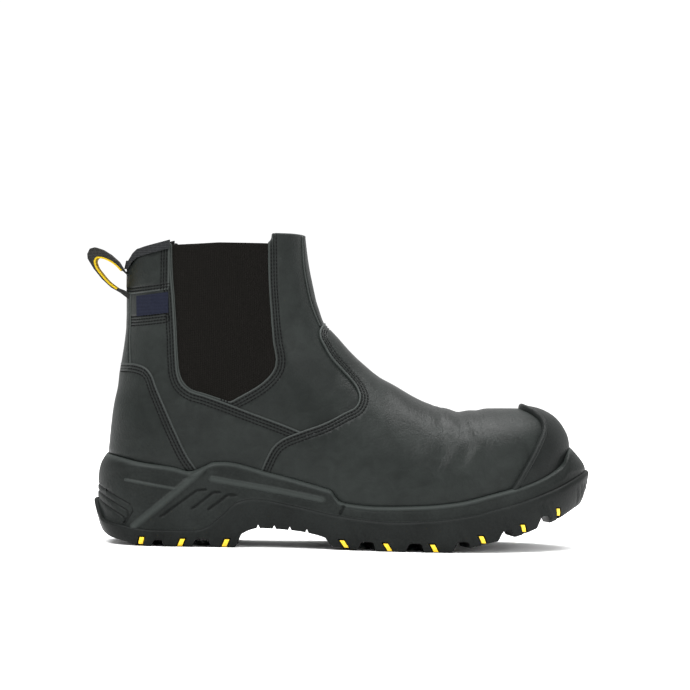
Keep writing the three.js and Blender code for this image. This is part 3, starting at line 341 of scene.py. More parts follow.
def grid_normals(grid, flip):
    along = np.gradient(grid, axis=0)
    across = np.gradient(grid, axis=1)
    normals = np.cross(along, across) * flip
    lengths = np.linalg.norm(normals, axis=2, keepdims=True)
    return np.where(lengths > 1e-6, normals / np.maximum(lengths, 1e-6), np.array([1.0, 0.0, 0.0]))


def grid_faces(rows, count, closed=False):
    faces = []
    last = count if closed else count - 1
    for r in range(rows - 1):
        for i in range(last):
            a = r * count + i
            b = r * count + (i + 1) % count
            faces.append((a, b, b + count, a + count))
    return faces


# Sheets: points carry a place, an outward direction, a height above the form and a distance to a line
PLACE = slice(0, 3)
OUTWARD = slice(3, 6)
HEIGHT = 6
DISTANCE = 7
# Two colour columns: paler edges, worn on the leather and a painted highlight on the midsole; and painted
# shade in stitch channels and grooves
EDGE_WEAR_AND_HIGHLIGHT = 8
PAINTED_SHADE = 9
NO_LIMIT = 2.0


class Sheet:
    """Faces over a form, cut along lines of equal distance and raised along their outward directions."""

    def __init__(self, places, normals, faces):
        flat = places.reshape(-1, 3)
        blank = np.zeros((len(flat), 4))
        self.points = np.hstack([flat, normals.reshape(-1, 3), blank])
        self.faces = list(faces)

    def copy(self):
        other = Sheet.__new__(Sheet)
        other.points = self.points.copy()
        other.faces = list(self.faces)
        return other

    def crop(self, keep):
        """Keeps the faces that have any of the points in the mask."""
        self.faces = [face for face in self.faces if any(keep[i] for i in face)]
        used = sorted({i for face in self.faces for i in face})
        places = {old: new for new, old in enumerate(used)}
        self.points = self.points[used]
        self.faces = [tuple(places[i] for i in face) for face in self.faces]

    def split(self, level, near=None):
        """Cuts the faces where the distance passes a level; near limits it to some points' faces."""
        values = (self.points[:, DISTANCE] - level).tolist()
        tiny = 1e-4
        cuts = {}
        added = []
        faces = []
        for face in self.faces:
            sides = [values[i] for i in face]
            if min(sides) > -tiny or max(sides) < tiny or (near and not all(near[i] for i in face)):
                faces.append(face)
                continue
            below = []
            above = []
            for k, i in enumerate(face):
                j = face[(k + 1) % len(face)]
                here = values[i]
                there = values[j]
                if here < tiny:
                    below.append(i)
                if here > -tiny:
                    above.append(i)
                if (here < -tiny and there > tiny) or (here > tiny and there < -tiny):
                    key = (i, j) if i < j else (j, i)
                    if key not in cuts:
                        share = values[key[0]] / (values[key[0]] - values[key[1]])
                        cuts[key] = len(self.points) + len(added)
                        added.append((key[0], key[1], share))
                    below.append(cuts[key])
                    above.append(cuts[key])
            faces += [tuple(part) for part in (below, above) if len(part) > 2]
        if added:
            first = np.array([a for a, _, _ in added])
            second = np.array([b for _, b, _ in added])
            share = np.array([s for _, _, s in added])[:, None]
            new = self.points[first] * (1 - share) + self.points[second] * share
            new[:, DISTANCE] = level
            length = np.linalg.norm(new[:, OUTWARD], axis=1, keepdims=True)
            new[:, OUTWARD] /= np.maximum(length, 1e-9)
            self.points = np.vstack([self.points, new])
        self.faces = faces

    def keep_inside(self):
        values = self.points[:, DISTANCE]
        self.faces = [face for face in self.faces if sum(values[i] for i in face) > 0]
        self.crop(np.ones(len(self.points), bool))

    def shape(self, profile):
        """Adds the heights of a profile of distances to the sheet's height."""
        distances, heights = zip(*profile)
        self.points[:, HEIGHT] += np.interp(self.points[:, DISTANCE], distances, heights)

    def mark(self, column, profile, where=True):
        """Writes a colour mark by the distance measured last: paler edges, worn on the leather and a painted
        highlight on the midsole, or painted shade in stitch channels and grooves.
        """
        distances, values = zip(*profile)
        marks = np.interp(self.points[:, DISTANCE], distances, values) * where
        self.points[:, column] = np.maximum(self.points[:, column], marks)

    def places(self):
        return self.points[:, PLACE] + self.points[:, OUTWARD] * self.points[:, [HEIGHT]]

    def relief(self, line, profile):
        """Adds a profile of distances from a side-view line to the height, with faces cut along it."""
        distance, side = side_distance(self.points, line, sided=True)
        self.points[:, DISTANCE] = distance * side
        self.split(0, (distance < 5).tolist())
        self.points[:, DISTANCE] = side_distance(self.points, line)
        for distance, _ in profile:
            self.split(distance)
        self.shape(profile)

    def chains(self, level):
        """The lines of points at a distance from the line measured last, as lists of point numbers."""
        on_line = (np.abs(self.points[:, DISTANCE] - level) < 1e-6).tolist()
        beside = {}
        for face in self.faces:
            for k, i in enumerate(face):
                j = face[(k + 1) % len(face)]
                if on_line[i] and on_line[j]:
                    beside.setdefault(i, set()).add(j)
                    beside.setdefault(j, set()).add(i)
        lines = []
        while beside:
            ends = [i for i, near in beside.items() if len(near) == 1]
            at = min(ends) if ends else min(beside)
            line = [at]
            while beside.get(at):
                ahead = min(beside[at])
                beside[at].discard(ahead)
                beside[ahead].discard(at)
                line.append(ahead)
                at = ahead
            for i in [i for i, near in beside.items() if not near]:
                del beside[i]
            if len(line) > 2:
                lines.append(line)
        return lines

    def stitch_rows(self, line, distances, seams, front=NO_LIMIT):
        """Presses a channel for each row of stitches beside a line and sets the stitches in it.

        Where the surface faces the toe more than front, there are none.
        """
        for distance in distances:
            low = distance - CHANNEL_HALF
            high = distance + CHANNEL_HALF
            self.relief(line, [(low, 0), (distance, -STITCH_CHANNEL), (high, 0)])
            # Painted shade darkens the channel, except where the surface faces the toe more than front
            beside = self.points[:, 3] < front
            self.mark(PAINTED_SHADE, [(low, 0), (distance, 1), (high, 0)], beside)
            for chain in self.chains(distance):
                seams.run(self.points[chain], front)

    def build(self, name, material, flip=False):
        mesh = bpy.data.meshes.new(name)
        faces = [face[::-1] for face in self.faces] if flip else self.faces
        mesh.from_pydata((self.places() * MILLIMETRE).tolist(), [], faces)
        # The paler edges (wear on the leather, a painted highlight on the midsole) and the painted shade go
        # to the materials as point attributes
        for column, word in ((EDGE_WEAR_AND_HIGHLIGHT, "edge"), (PAINTED_SHADE, "painted_shade")):
            values = np.clip(self.points[:, column], 0, 1).astype(np.float32)
            mesh.attributes.new(word, "FLOAT", "POINT").data.foreach_set("value", values)
        return dressed(mesh, material)


def side_distance(points, line, closed=False, sided=False):
    """The distance in the side view to a line, along the surface; positive inside a closed line.

    Sided, it comes with the side of an open line that each point is on, as 1 or -1.
    """
    line = np.asarray(line, float)
    starts = line if closed else line[:-1]
    ends = np.roll(line, -1, axis=0) if closed else line[1:]
    x = points[:, 0]
    z = points[:, 2]
    nearest = np.full(len(points), np.inf)
    direction = np.zeros((len(points), 2))
    inside = np.zeros(len(points), bool)
    side = np.ones(len(points))
    for (ax, az), (bx, bz) in zip(starts, ends):
        span = (bx - ax) ** 2 + (bz - az) ** 2
        if span < 1e-12:
            continue
        t = np.clip(((x - ax) * (bx - ax) + (z - az) * (bz - az)) / span, 0, 1)
        dx = x - ax - t * (bx - ax)
        dz = z - az - t * (bz - az)
        distance = np.hypot(dx, dz)
        closer = distance < nearest
        nearest = np.where(closer, distance, nearest)
        direction[closer, 0] = dx[closer]
        direction[closer, 1] = dz[closer]
        if sided:
            turn = (bx - ax) * (z - az) - (bz - az) * (x - ax)
            side = np.where(closer, np.where(turn < 0, -1.0, 1.0), side)
        if closed:
            crosses = ((az > z) != (bz > z)) & (x < (bx - ax) * (z - az) / ((bz - az) or 1e-12) + ax)
            inside ^= crosses
    length = np.maximum(np.hypot(direction[:, 0], direction[:, 1]), 1e-9)
    out = (direction[:, 0] * points[:, 3] + direction[:, 1] * points[:, 5]) / length
    slope = np.sqrt(np.maximum(1 - out ** 2, 0.1))
    distance = nearest / slope
    if closed:
        return np.where(inside, distance, -distance)
    return (distance, side) if sided else distance


def flowing(points, corners=(), steps=6):
    """A smooth line through the points, with a sharp turn at the numbered corners."""
    points = [np.array(p, float) for p in points]
    line = [points[0]]
    for i in range(len(points) - 1):
        a = points[i]
        b = points[i + 1]
        before = points[i - 1] if i > 0 and i not in corners else 2 * a - b
        after = points[i + 2] if i + 2 < len(points) and i + 1 not in corners else 2 * b - a
        chord = np.linalg.norm(b - a)
        back = np.linalg.norm(a - before)
        ahead = np.linalg.norm(after - b)
        slope_a = ((b - a) / chord * back + (a - before) / back * chord) / (back + chord) * chord
        slope_b = ((after - b) / ahead * chord + (b - a) / chord * ahead) / (ahead + chord) * chord
        for k in range(1, steps + 1):
            t = k / steps
            line.append(
                (1 + 2 * t) * (1 - t) ** 2 * a + t * t * (3 - 2 * t) * b
                + t * (1 - t) ** 2 * slope_a + t * t * (t - 1) * slope_b
            )
    return np.array(line)


# Stitches
STITCH_PITCH = 2.25
STITCH_LENGTH = 1.7
STITCH_RADIUS = 0.42
STITCH_CHANNEL = 0.5
STITCH_RINGS = [(-1, 0.3, -0.12), (-0.62, 0.85, 0.1), (0, 1, 0.2), (0.62, 0.85, 0.1), (1, 0.3, -0.12)]
STITCH_SIDES = 6
CHANNEL_HALF = 0.75
COLLAR_GAP = 2.2
SOLE_GAP = 0.8


class Seams:
    """Rows of small thread stitches, gathered into one mesh."""

    def __init__(self):
        self.centres = []
        self.along = []
        self.outward = []

    def run(self, points, front):
        places = points[:, PLACE] + points[:, OUTWARD] * points[:, [HEIGHT]]
        steps = np.linalg.norm(np.diff(places, axis=0), axis=1)
        travel = np.concatenate([[0], np.cumsum(steps)])
        count = int(travel[-1] / STITCH_PITCH)
        if count < 2:
            return
        at = (np.arange(count) + 0.5) * STITCH_PITCH
        centres = spread(at, travel, places)
        along = spread(at + 0.4, travel, places) - spread(at - 0.4, travel, places)
        outward = spread(at, travel, points[:, OUTWARD])
        seen = np.hstack([centres, outward])
        clear = side_distance(seen, collar_region, closed=True) > COLLAR_GAP
        clear &= centres[:, 2] > top_edge(centres[:, 0]) + SOLE_GAP
        clear &= (np.linalg.norm(along, axis=1) > 0.1) & (outward[:, 0] < front)
        self.centres.append(centres[clear])
        self.along.append(along[clear])
        self.outward.append(outward[clear])

    def build(self, name, material):
        centres = np.vstack(self.centres)
        along = np.vstack(self.along)
        outward = np.vstack(self.outward)
        along /= np.linalg.norm(along, axis=1, keepdims=True)
        sideways = np.cross(outward, along)
        sideways /= np.linalg.norm(sideways, axis=1, keepdims=True)
        outward = np.cross(along, sideways)
        rings = []
        for share, width, lift in STITCH_RINGS:
            for side in range(STITCH_SIDES):
                angle = 2 * math.pi * side / STITCH_SIDES
                up = lift + STITCH_RADIUS * width * math.sin(angle)
                out = STITCH_RADIUS * width * math.cos(angle)
                rings.append(centres + along * share * STITCH_LENGTH / 2 + outward * up + sideways * out)
        corners = np.stack(rings, axis=1)
        count = corners.shape[1]
        single = grid_faces(len(STITCH_RINGS), STITCH_SIDES, closed=True)
        single += [tuple(range(STITCH_SIDES))[::-1], tuple(range(count - STITCH_SIDES, count))]
        starts = range(0, len(centres) * count, count)
        faces = [tuple(start + i for i in face) for start in starts for face in single]
        mesh = bpy.data.meshes.new(name)
        mesh.from_pydata((corners.reshape(-1, 3) * MILLIMETRE).tolist(), [], faces)
        return dressed(mesh, material)


def spread(at, travel, values):
    return np.stack([np.interp(at, travel, values[:, i]) for i in range(values.shape[1])], axis=1)


# Objects, each with its material, its body and the solid that it stands for
def dressed(mesh, material, replaces="upper"):
    mesh.validate()
    for polygon in mesh.polygons:
        polygon.use_smooth = True
    mesh.materials.append(material)
    obj = bpy.data.objects.new(mesh.name, mesh)
    bpy.context.scene.collection.objects.link(obj)
    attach(obj, "root")
    if replaces:
        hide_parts(replaces)
    return obj


class Finish:
    """A node material whose colour, roughness and height vary by places in the boot's frame."""

    def __init__(self, name, colour, roughness, **uniform):
        self.material = bpy.data.materials.new(name)
        self.material.use_nodes = True
        self.material.diffuse_color = (*colour, 1)
        self.tree = self.material.node_tree
        self.shader = self.tree.nodes["Principled BSDF"]
        self.set(self.shader, "Base Color", (*colour, 1))
        self.set(self.shader, "Roughness", roughness)
        for socket, value in uniform.items():
            self.set(self.shader, socket.replace("_", " "), value)
        self.place = self.tree.nodes.new("ShaderNodeTexCoord").outputs["Object"]
        self.normal = None

    def set(self, node, socket, value):
        if isinstance(value, bpy.types.NodeSocket):
            self.tree.links.new(value, node.inputs[socket])
        else:
            node.inputs[socket].default_value = value

    def node(self, kind, settings=(), **inputs):
        node = self.tree.nodes.new("ShaderNode" + kind)
        for key, value in dict(settings).items():
            setattr(node, key, value)
        for socket, value in inputs.items():
            number = socket[1:]
            self.set(node, int(number) if number.isdigit() else socket.replace("_", " "), value)
        return node

    def stretched(self, scale):
        return self.node("Mapping", Vector=self.place, Scale=scale).outputs[0]

    def noise(self, scale, detail=3.0, roughness=0.55, distortion=0.0, vector=None):
        node = self.node("TexNoise", Vector=vector or self.place, Scale=scale, Detail=detail)
        self.set(node, "Roughness", roughness)
        self.set(node, "Distortion", distortion)
        return node.outputs[0]

    def cells(self, scale, feature="F1", vector=None):
        settings = {"feature": feature}
        return self.node("TexVoronoi", settings, Vector=vector or self.place, Scale=scale).outputs["Distance"]

    def math(self, operation, a, b=0.0, c=0.0):
        return self.node("Math", {"operation": operation}, _0=a, _1=b, _2=c).outputs[0]

    def remap(self, value, low, high, to_low=0.0, to_high=1.0):
        settings = {"interpolation_type": "SMOOTHSTEP"}
        ends = {"From_Min": low, "From_Max": high, "To_Min": to_low, "To_Max": to_high}
        return self.node("MapRange", settings, Value=value, **ends).outputs[0]

    def blend(self, first, share, second, second_share):
        return self.math("MULTIPLY_ADD", first, share, self.math("MULTIPLY", second, second_share))

    def wave(self, direction, scale, distortion):
        settings = {"bands_direction": direction}
        node = self.node("TexWave", settings, Vector=self.place, Scale=scale, Distortion=distortion)
        return node.outputs[1]

    def mixed(self, share, first, second):
        node = self.node("Mix", {"data_type": "RGBA"}, Factor=share)
        for socket, value in ((6, first), (7, second)):
            self.set(node, socket, value if isinstance(value, bpy.types.NodeSocket) else (*value, 1))
        return node.outputs[2]

    def attribute(self, name):
        return self.node("Attribute", {"attribute_name": name}).outputs["Fac"]

    def part(self, axis):
        return self.node("SeparateXYZ", Vector=self.place).outputs[axis]

    def band(self, value, low, high, fade):
        rise = self.remap(value, low - fade, low + fade)
        fall = self.remap(value, high - fade, high + fade, 1.0, 0.0)
        return self.math("MULTIPLY", rise, fall)

    def bump(self, height, depth, strength=1.0):
        node = self.node("Bump", Height=height, Distance=depth, Strength=strength)
        if self.normal:
            self.set(node, "Normal", self.normal)
        self.normal = node.outputs[0]
        self.set(self.shader, "Normal", self.normal)

    def colour(self, value):
        self.set(self.shader, "Base Color", value)

    def roughness(self, value):
        self.set(self.shader, "Roughness", value)


def leather_finish():
    """Black oiled leather: fine grain, cloudy tone, scuffs, flex wrinkles over the ball, paler cut edges, and
    painted shade in the stitch channels.
    """
    f = Finish("black_oiled_leather", (0.0092, 0.0112, 0.0103), 0.38, Specular_IOR_Level=0.12)
    cloud = f.noise(16.0, 4.0, 0.6, 0.4)
    fine = f.noise(900.0, 3.0, 0.6)
    nap = f.noise(95.0, 5.0, 0.65, 0.8)
    tone = f.remap(f.blend(nap, 0.45, cloud, 0.6), 0.36, 0.72)
    body = f.mixed(tone, (0.005, 0.0063, 0.0057), (0.0108, 0.0132, 0.0121))
    scratch = f.noise(60.0, 3.0, 0.5, 1.2, f.stretched((2.0, 2.0, 16.0)))
    body = f.mixed(f.remap(scratch, 0.66, 0.78, 0.0, 0.35), body, (0.024, 0.0275, 0.026))
    body = f.mixed(f.math("MULTIPLY", f.attribute("edge"), 0.8), body, (0.034, 0.039, 0.0368))
    # Painted shade: the stitch channels darken almost to black
    body = f.mixed(f.math("MULTIPLY", f.attribute("painted_shade"), 0.88), body, (0.0014, 0.0016, 0.0015))
    f.colour(body)
    f.roughness(f.remap(f.blend(fine, 0.3, cloud, 0.7), 0.3, 0.7, 0.38, 0.54))
    wrinkles = f.noise(26.0, 4.0, 0.55, 0.5, f.stretched((16.0, 2.2, 9.0)))
    over_ball = f.band(f.part(0), 0.145, 0.196, 0.016)
    f.bump(f.math("MULTIPLY", wrinkles, over_ball), 0.0011, 0.5)
    f.bump(f.cells(760.0, "SMOOTH_F1"), 0.00022, 0.5)
    f.bump(fine, 0.00018, 0.5)
    f.bump(nap, 0.0007, 0.35)
    return f.material


def rubber_finish(name, dark, light, rough, grain, depth):
    """Moulded rubber or foam: a fine even grain, faint dust in a cloudy tone, painted shade in grooves and a
    painted highlight on ridges and the rounded top.
    """
    f = Finish(name, dark, rough, Specular_IOR_Level=0.07)
    cloud = f.noise(30.0, 4.0, 0.6, 0.3)
    fine = f.noise(grain, 2.0, 0.6)
    tone = f.remap(f.blend(fine, 0.35, cloud, 0.65), 0.35, 0.68)
    body = f.mixed(tone, dark, light)
    # Painted shade in the grooves
    body = f.mixed(f.math("MULTIPLY", f.attribute("painted_shade"), 0.75), body, tuple(0.25 * part for part in dark))
    # Painted highlight on ridges and on the midsole's rounded top
    f.colour(f.mixed(f.math("MULTIPLY", f.attribute("edge"), 0.8), body, tuple(2.6 * part for part in light)))
    f.roughness(f.remap(cloud, 0.3, 0.7, rough - 0.07, rough + 0.07))
    f.bump(f.cells(grain, "SMOOTH_F1"), depth, 0.55)
    f.bump(fine, depth, 0.5)
    return f.material


def knit_finish():
    """Ribbed elastic: upright ribs with a slanted twill between them, brown and black threads."""
    f = Finish("ribbed_elastic", (0.009, 0.0084, 0.0076), 0.92, Specular_IOR_Level=0.04)
    twill = f.wave("DIAGONAL", 620.0, 0.8)
    cross = f.wave("Z", 700.0, 0.8)
    weave = f.blend(twill, 0.6, cross, 0.4)
    speckle = f.noise(1500.0, 2.0, 0.7)
    tone = f.remap(f.blend(speckle, 0.5, weave, 0.5), 0.25, 0.75)
    f.colour(f.mixed(tone, (0.0013, 0.0012, 0.001), (0.0098, 0.009, 0.008)))
    f.bump(weave, 0.0004, 0.8)
    f.bump(speckle, 0.0002, 0.5)
    return f.material


def woven_finish(name, dark, light, scale, rough=0.85):
    """Woven tape or cloth: crossing threads with a little fuzz."""
    f = Finish(name, dark, rough, Specular_IOR_Level=0.05)
    across = f.wave("X", scale, 0.5)
    up = f.wave("Z", scale * 0.8, 0.5)
    weave = f.blend(across, 0.5, up, 0.5)
    fuzz = f.noise(1300.0, 2.0, 0.6)
    f.colour(f.mixed(f.remap(f.blend(fuzz, 0.5, weave, 0.5), 0.3, 0.7), dark, light))
    f.bump(weave, 0.0003, 0.7)
    f.bump(fuzz, 0.00015, 0.5)
    return f.material


def satin_finish(name, dark, light, rough, grain=500.0):
    """A smooth moulded colour with a faint tone and surface."""
    f = Finish(name, dark, rough, Specular_IOR_Level=0.45)
    cloud = f.noise(grain, 3.0, 0.6)
    f.colour(f.mixed(f.remap(cloud, 0.3, 0.7), dark, light))
    f.roughness(f.remap(cloud, 0.3, 0.7, rough - 0.06, rough + 0.06))
    f.bump(cloud, 0.00015, 0.4)
    return f.material


leather = leather_finish()
cap_rubber = rubber_finish(
    "grained_cap_rubber", (0.0058, 0.0067, 0.0064), (0.011, 0.0127, 0.012), 0.44, 1100.0, 0.0002,
)
foam = rubber_finish(
    "moulded_midsole", (0.0064, 0.0075, 0.007), (0.0118, 0.0137, 0.0129), 0.48, 700.0, 0.0002,
)
rubber = rubber_finish(
    "outsole_rubber", (0.0045, 0.0052, 0.0049), (0.009, 0.0104, 0.0099), 0.5, 900.0, 0.00015,
)
gore_elastic = knit_finish()
lining_cloth = woven_finish("lining_cloth", (0.012, 0.0125, 0.013), (0.032, 0.033, 0.034), 350.0, 0.95)
webbing = woven_finish("loop_webbing", (0.006, 0.006, 0.006), (0.03, 0.03, 0.028), 420.0)
webbing_yellow = woven_finish("loop_yellow_yarn", (0.26, 0.175, 0.005), (0.5, 0.35, 0.014), 420.0)
binding_cloth = woven_finish("binding_tape", (0.006, 0.0065, 0.007), (0.024, 0.025, 0.026), 380.0)
label_cloth = woven_finish("label_cloth", (0.004, 0.0048, 0.0095), (0.012, 0.0138, 0.024), 450.0)
thread = woven_finish("stitch_thread", (0.0018, 0.002, 0.002), (0.0065, 0.007, 0.007), 700.0, 0.7)
yellow = satin_finish("insert_yellow", (0.74, 0.46, 0.008), (0.86, 0.6, 0.02), 0.42)

# The upper
grid = form_grid()
FORM = Sheet(grid, grid_normals(grid, 1), grid_faces(grid.shape[0], grid.shape[1]))
centre = np.array([along_x(0.4), 0, level_z(0.4)])
facing = np.sum((FORM.points[:, PLACE] - centre) * FORM.points[:, OUTWARD], axis=1)
if np.mean(facing) < 0:
    FORM.points[:, OUTWARD] *= -1
    FORM.faces = [face[::-1] for face in FORM.faces]

# Creases in the leather, in the side view: how deep, how wide, then the line. A ridge has a depth below zero.
CREASES = [
    (0.8, 7, [(120, 106), (128, 88), (142, 68)]),
    (0.75, 3.6, [(157, 84), (162, 66), (157, 50)]),
    (-0.4, 3.6, [(163, 83), (169, 66), (164, 52)]),
    (0.65, 3.2, [(170, 82), (176, 66), (172, 53)]),
    (-0.35, 3, [(177, 82), (182, 66), (178, 54)]),
    (0.55, 3, [(183, 83), (188, 68), (185, 56)]),
    (0.7, 8, [(64, 160), (70, 128), (90, 104)]),
    (-0.7, 10, [(100, 96), (122, 74), (128, 58)]),
    (0.5, 7, [(-38, 96), (-26, 90), (-10, 76)]),
    (-0.5, 9, [(-34, 78), (-18, 66), (0, 54)]),
    (0.45, 6, [(-30, 136), (-20, 128), (-8, 126)]),
    (0.5, 8, [(20, 84), (36, 66), (44, 56)]),
]


def creased(sheet):
    for depth, width, line in CREASES:
        distance = side_distance(sheet.points, flowing(line))
        sheet.points[:, HEIGHT] -= depth * np.exp(-(distance / width) ** 2)


creased(FORM)
FAR = 400
CROP_MARGIN = 8
collar_line = flowing(COLLAR_LINE, corners=(7, 8, 11, 12, 13, 14))
collar_region = np.vstack([collar_line, [(FAR, 186), (FAR, -FAR), (-FAR, -FAR), (-FAR, 168)]])
gore_region = flowing(GORE_LINE, corners=(1, 10, 17))


def tuck(sheet):
    """Draws a raised panel in where it goes down into the sole."""
    places = sheet.points[:, PLACE]
    above = places[:, 2] - top_edge(places[:, 0])
    sheet.points[:, HEIGHT] *= smooth((above + 2.5) / 3.5)


def to_region(region):
    return side_distance(FORM.points, region, closed=True)


def cut_out(distance, profile):
    """The form's part where a distance is above zero, raised by a profile of that distance."""
    sheet = FORM.copy()
    sheet.points[:, DISTANCE] = distance
    sheet.crop(distance > -CROP_MARGIN)
    for level, _ in profile:
        sheet.split(level)
    sheet.keep_inside()
    sheet.shape(profile)
    return sheet


def wall(heights):
    """The shaft's leather or its lining: the form under the collar's line, without the gores' windows."""
    sheet = cut_out(np.minimum(to_region(collar_region), -to_region(gore_region)), heights)
    sheet.mark(EDGE_WEAR_AND_HIGHLIGHT, [(0, 1), (0.5, 0.7), (1, 0)])
    return sheet


def panel(line, far_corners, step):
    """A raised panel with a folded edge along its line."""
    to_panel = to_region(np.vstack([line, far_corners]))
    to_collar = to_region(collar_region) - PANEL_SETBACK
    profile = [(0, -0.4), (0.06, 0.62 * step), (0.35, 0.95 * step), (0.8, step + 0.1), (1.4, step)]
    sheet = cut_out(np.minimum(to_panel, to_collar), profile)
    sheet.mark(EDGE_WEAR_AND_HIGHLIGHT, [(0, 0), (0.06, 0.3), (0.35, 1), (0.8, 0.6), (1.4, 0)])
    tuck(sheet)
    return sheet


PANEL_SETBACK = 0.4
TOP = 215
ONE_ROW = (1.7,)
TWO_ROWS = (1.7, 3.5)
LABEL_ROW_PLACES = (0.9, 2.7)
THREE_ROWS = (1.9, 3.7, 5.6)
VAMP_FRONT = 0.7
quarter_line = flowing(QUARTER_LINE, (1,))
vamp_line = flowing(VAMP_LINE, (1,))
counter_line = flowing(COUNTER_LINE)
collar_panel_line = flowing(COLLAR_PANEL_LINE)
front_strip_line = flowing(FRONT_STRIP_LINE, (1,))
back_strap_line = flowing(BACK_STRAP_LINE)
gore_front_line = flowing(GORE_LINE[10:], (7,))
seams = Seams()

shell = wall([(0, -0.9), (0.1, -0.35), (0.5, -0.08), (1, 0)])
shell.stitch_rows(gore_front_line, THREE_ROWS, seams)
shell.build("shaft_leather", leather)
wall([(0, -0.9), (0.1, -1.6), (0.5, -2), (1, -LEATHER_WALL)]).build("lining", lining_cloth, flip=True)

# Each panel's name, line, the far corners that close it, step, and the lines and places of its stitches
PANELS = [
    ("quarter", quarter_line, [(70, -FAR), (-FAR, -FAR), (-FAR, TOP)], QUARTER_STEP,
     [(quarter_line, THREE_ROWS), (flowing(LABEL_ROWS), LABEL_ROW_PLACES)]),
    ("vamp", vamp_line, [(45, -FAR), (FAR, -FAR), (FAR, 150)], OVERLAY_STEP, [(vamp_line, THREE_ROWS)]),
    ("counter", counter_line, [(20, -FAR), (-FAR, -FAR), (-FAR, 111.4)], OVERLAY_STEP,
     [(counter_line, THREE_ROWS)]),
    ("collar_panel", collar_panel_line, [(-7.3, TOP), (-FAR, TOP), (-FAR, 150)], OVERLAY_STEP,
     [(collar_panel_line, TWO_ROWS), ([(-7.3, 220), (-7.3, 150)], THREE_ROWS)]),
    ("front_strip", front_strip_line, [(FAR, 135), (FAR, TOP)], QUARTER_STEP, [(front_strip_line, ONE_ROW)]),
    ("back_strap", back_strap_line, [(-FAR, 106), (-FAR, 156)], OVERLAY_STEP - 0.2,
     [(back_strap_line, ONE_ROW)]),
]
for word, line, far_corners, step, rows in PANELS:
    sheet = panel(line, far_corners, step)
    for row_line, distances in rows:
        sheet.stitch_rows(row_line, distances, seams, VAMP_FRONT if word == "vamp" else NO_LIMIT)
    sheet.build(word, leather)
seams.build("upper_stitches", thread)

# The gores
RIB_PITCH = 1.3
RIB_HEIGHT = 0.16
GORE_DEPTH = 0.75
GORE_THICKNESS = 1.6
GORE_STEPS = (0.26, 0.9)
GORE_MARGIN = 2.0


def gore(side, word):
    """A ribbed elastic panel in the shaft's window: its face with upright ribs, and its back."""
    corners = FORM.places()
    tree = BVHTree.FromPolygons(corners.tolist(), FORM.faces)
    low_x, low_z = gore_region.min(axis=0) - GORE_MARGIN
    high_x = gore_region[:, 0].max() + GORE_MARGIN
    across = np.arange(low_x, high_x, GORE_STEPS[0])
    up = np.arange(low_z, COLLAR_LINE[8][1] + GORE_MARGIN, GORE_STEPS[1])
    hits = [tree.ray_cast((x, side * FAR, z), (0, -side, 0)) for z in up for x in across]
    places = np.array([hit[0] for hit in hits])
    normals = np.array([hit[1] if hit[1].y * side > 0 else -hit[1] for hit in hits])
    faces = grid_faces(len(up), len(across))
    sheet = Sheet(places, normals, faces)
    to_collar = side_distance(sheet.points, collar_region, closed=True)
    to_gore = side_distance(sheet.points, gore_region, closed=True)
    sheet.points[:, DISTANCE] = np.minimum(to_collar, to_gore + GORE_MARGIN)
    back = sheet.copy()
    sheet.points[:, HEIGHT] = RIB_HEIGHT * np.cos(2 * np.pi * places[:, 0] / RIB_PITCH) - GORE_DEPTH
    sheet.points[:, HEIGHT] -= 0.5 * smooth(1 - to_collar / 1.2)
    back.points[:, HEIGHT] = -GORE_DEPTH - GORE_THICKNESS
    for part, name, flip in ((sheet, "gore_face_", side > 0), (back, "gore_back_", side < 0)):
        part.split(0)
        part.keep_inside()
        obj = part.build(name + word, gore_elastic, flip)
        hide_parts("gore_" + word)


gore(-1, "lateral")
gore(1, "medial")


def toe_cap():
    region = np.vstack([flowing(CAP_LINE, (1,)), [(188, -FAR), (FAR, -FAR), (FAR, 100)]])
    profile = [(0, 1.1), (0.08, 2.6), (0.35, CAP_LIFT), (0.9, CAP_LIFT + 0.7), (1.5, CAP_LIFT + BEAD_HEIGHT)]
    profile += [(2.1, CAP_LIFT + 0.7), (2.6, CAP_LIFT + 0.2), (3, CAP_LIFT - 0.2)]
    profile += [(3.5, CAP_LIFT - 0.05), (4.2, CAP_LIFT)]
    sheet = cut_out(to_region(region), profile)
    above = sheet.points[:, 2] - top_edge(sheet.points[:, 0])
    sheet.points[:, HEIGHT] = mix(1.0, sheet.points[:, HEIGHT], smooth((above + 3) / 3.5))
    obj = sheet.build("toe_cap_rubber", cap_rubber)
    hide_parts("toe_cap")


toe_cap()

# The pull loop's yellow yarn: a ribbon on its inner face that shows at both edges
LOOP_INNER = [
    (-38.5, 167.5), (-41.2, 170.3), (-46.2, 173.6), (-50.5, 175.1), (-53.6, 175.1), (-54.8, 173.2),
    (-54.2, 170.1),
    (-50.4, 164.6), (-45.9, 159.7), (-40.9, 156.1),
]
YARN_THICKNESS = 0.5
YARN_EDGE = 0.35


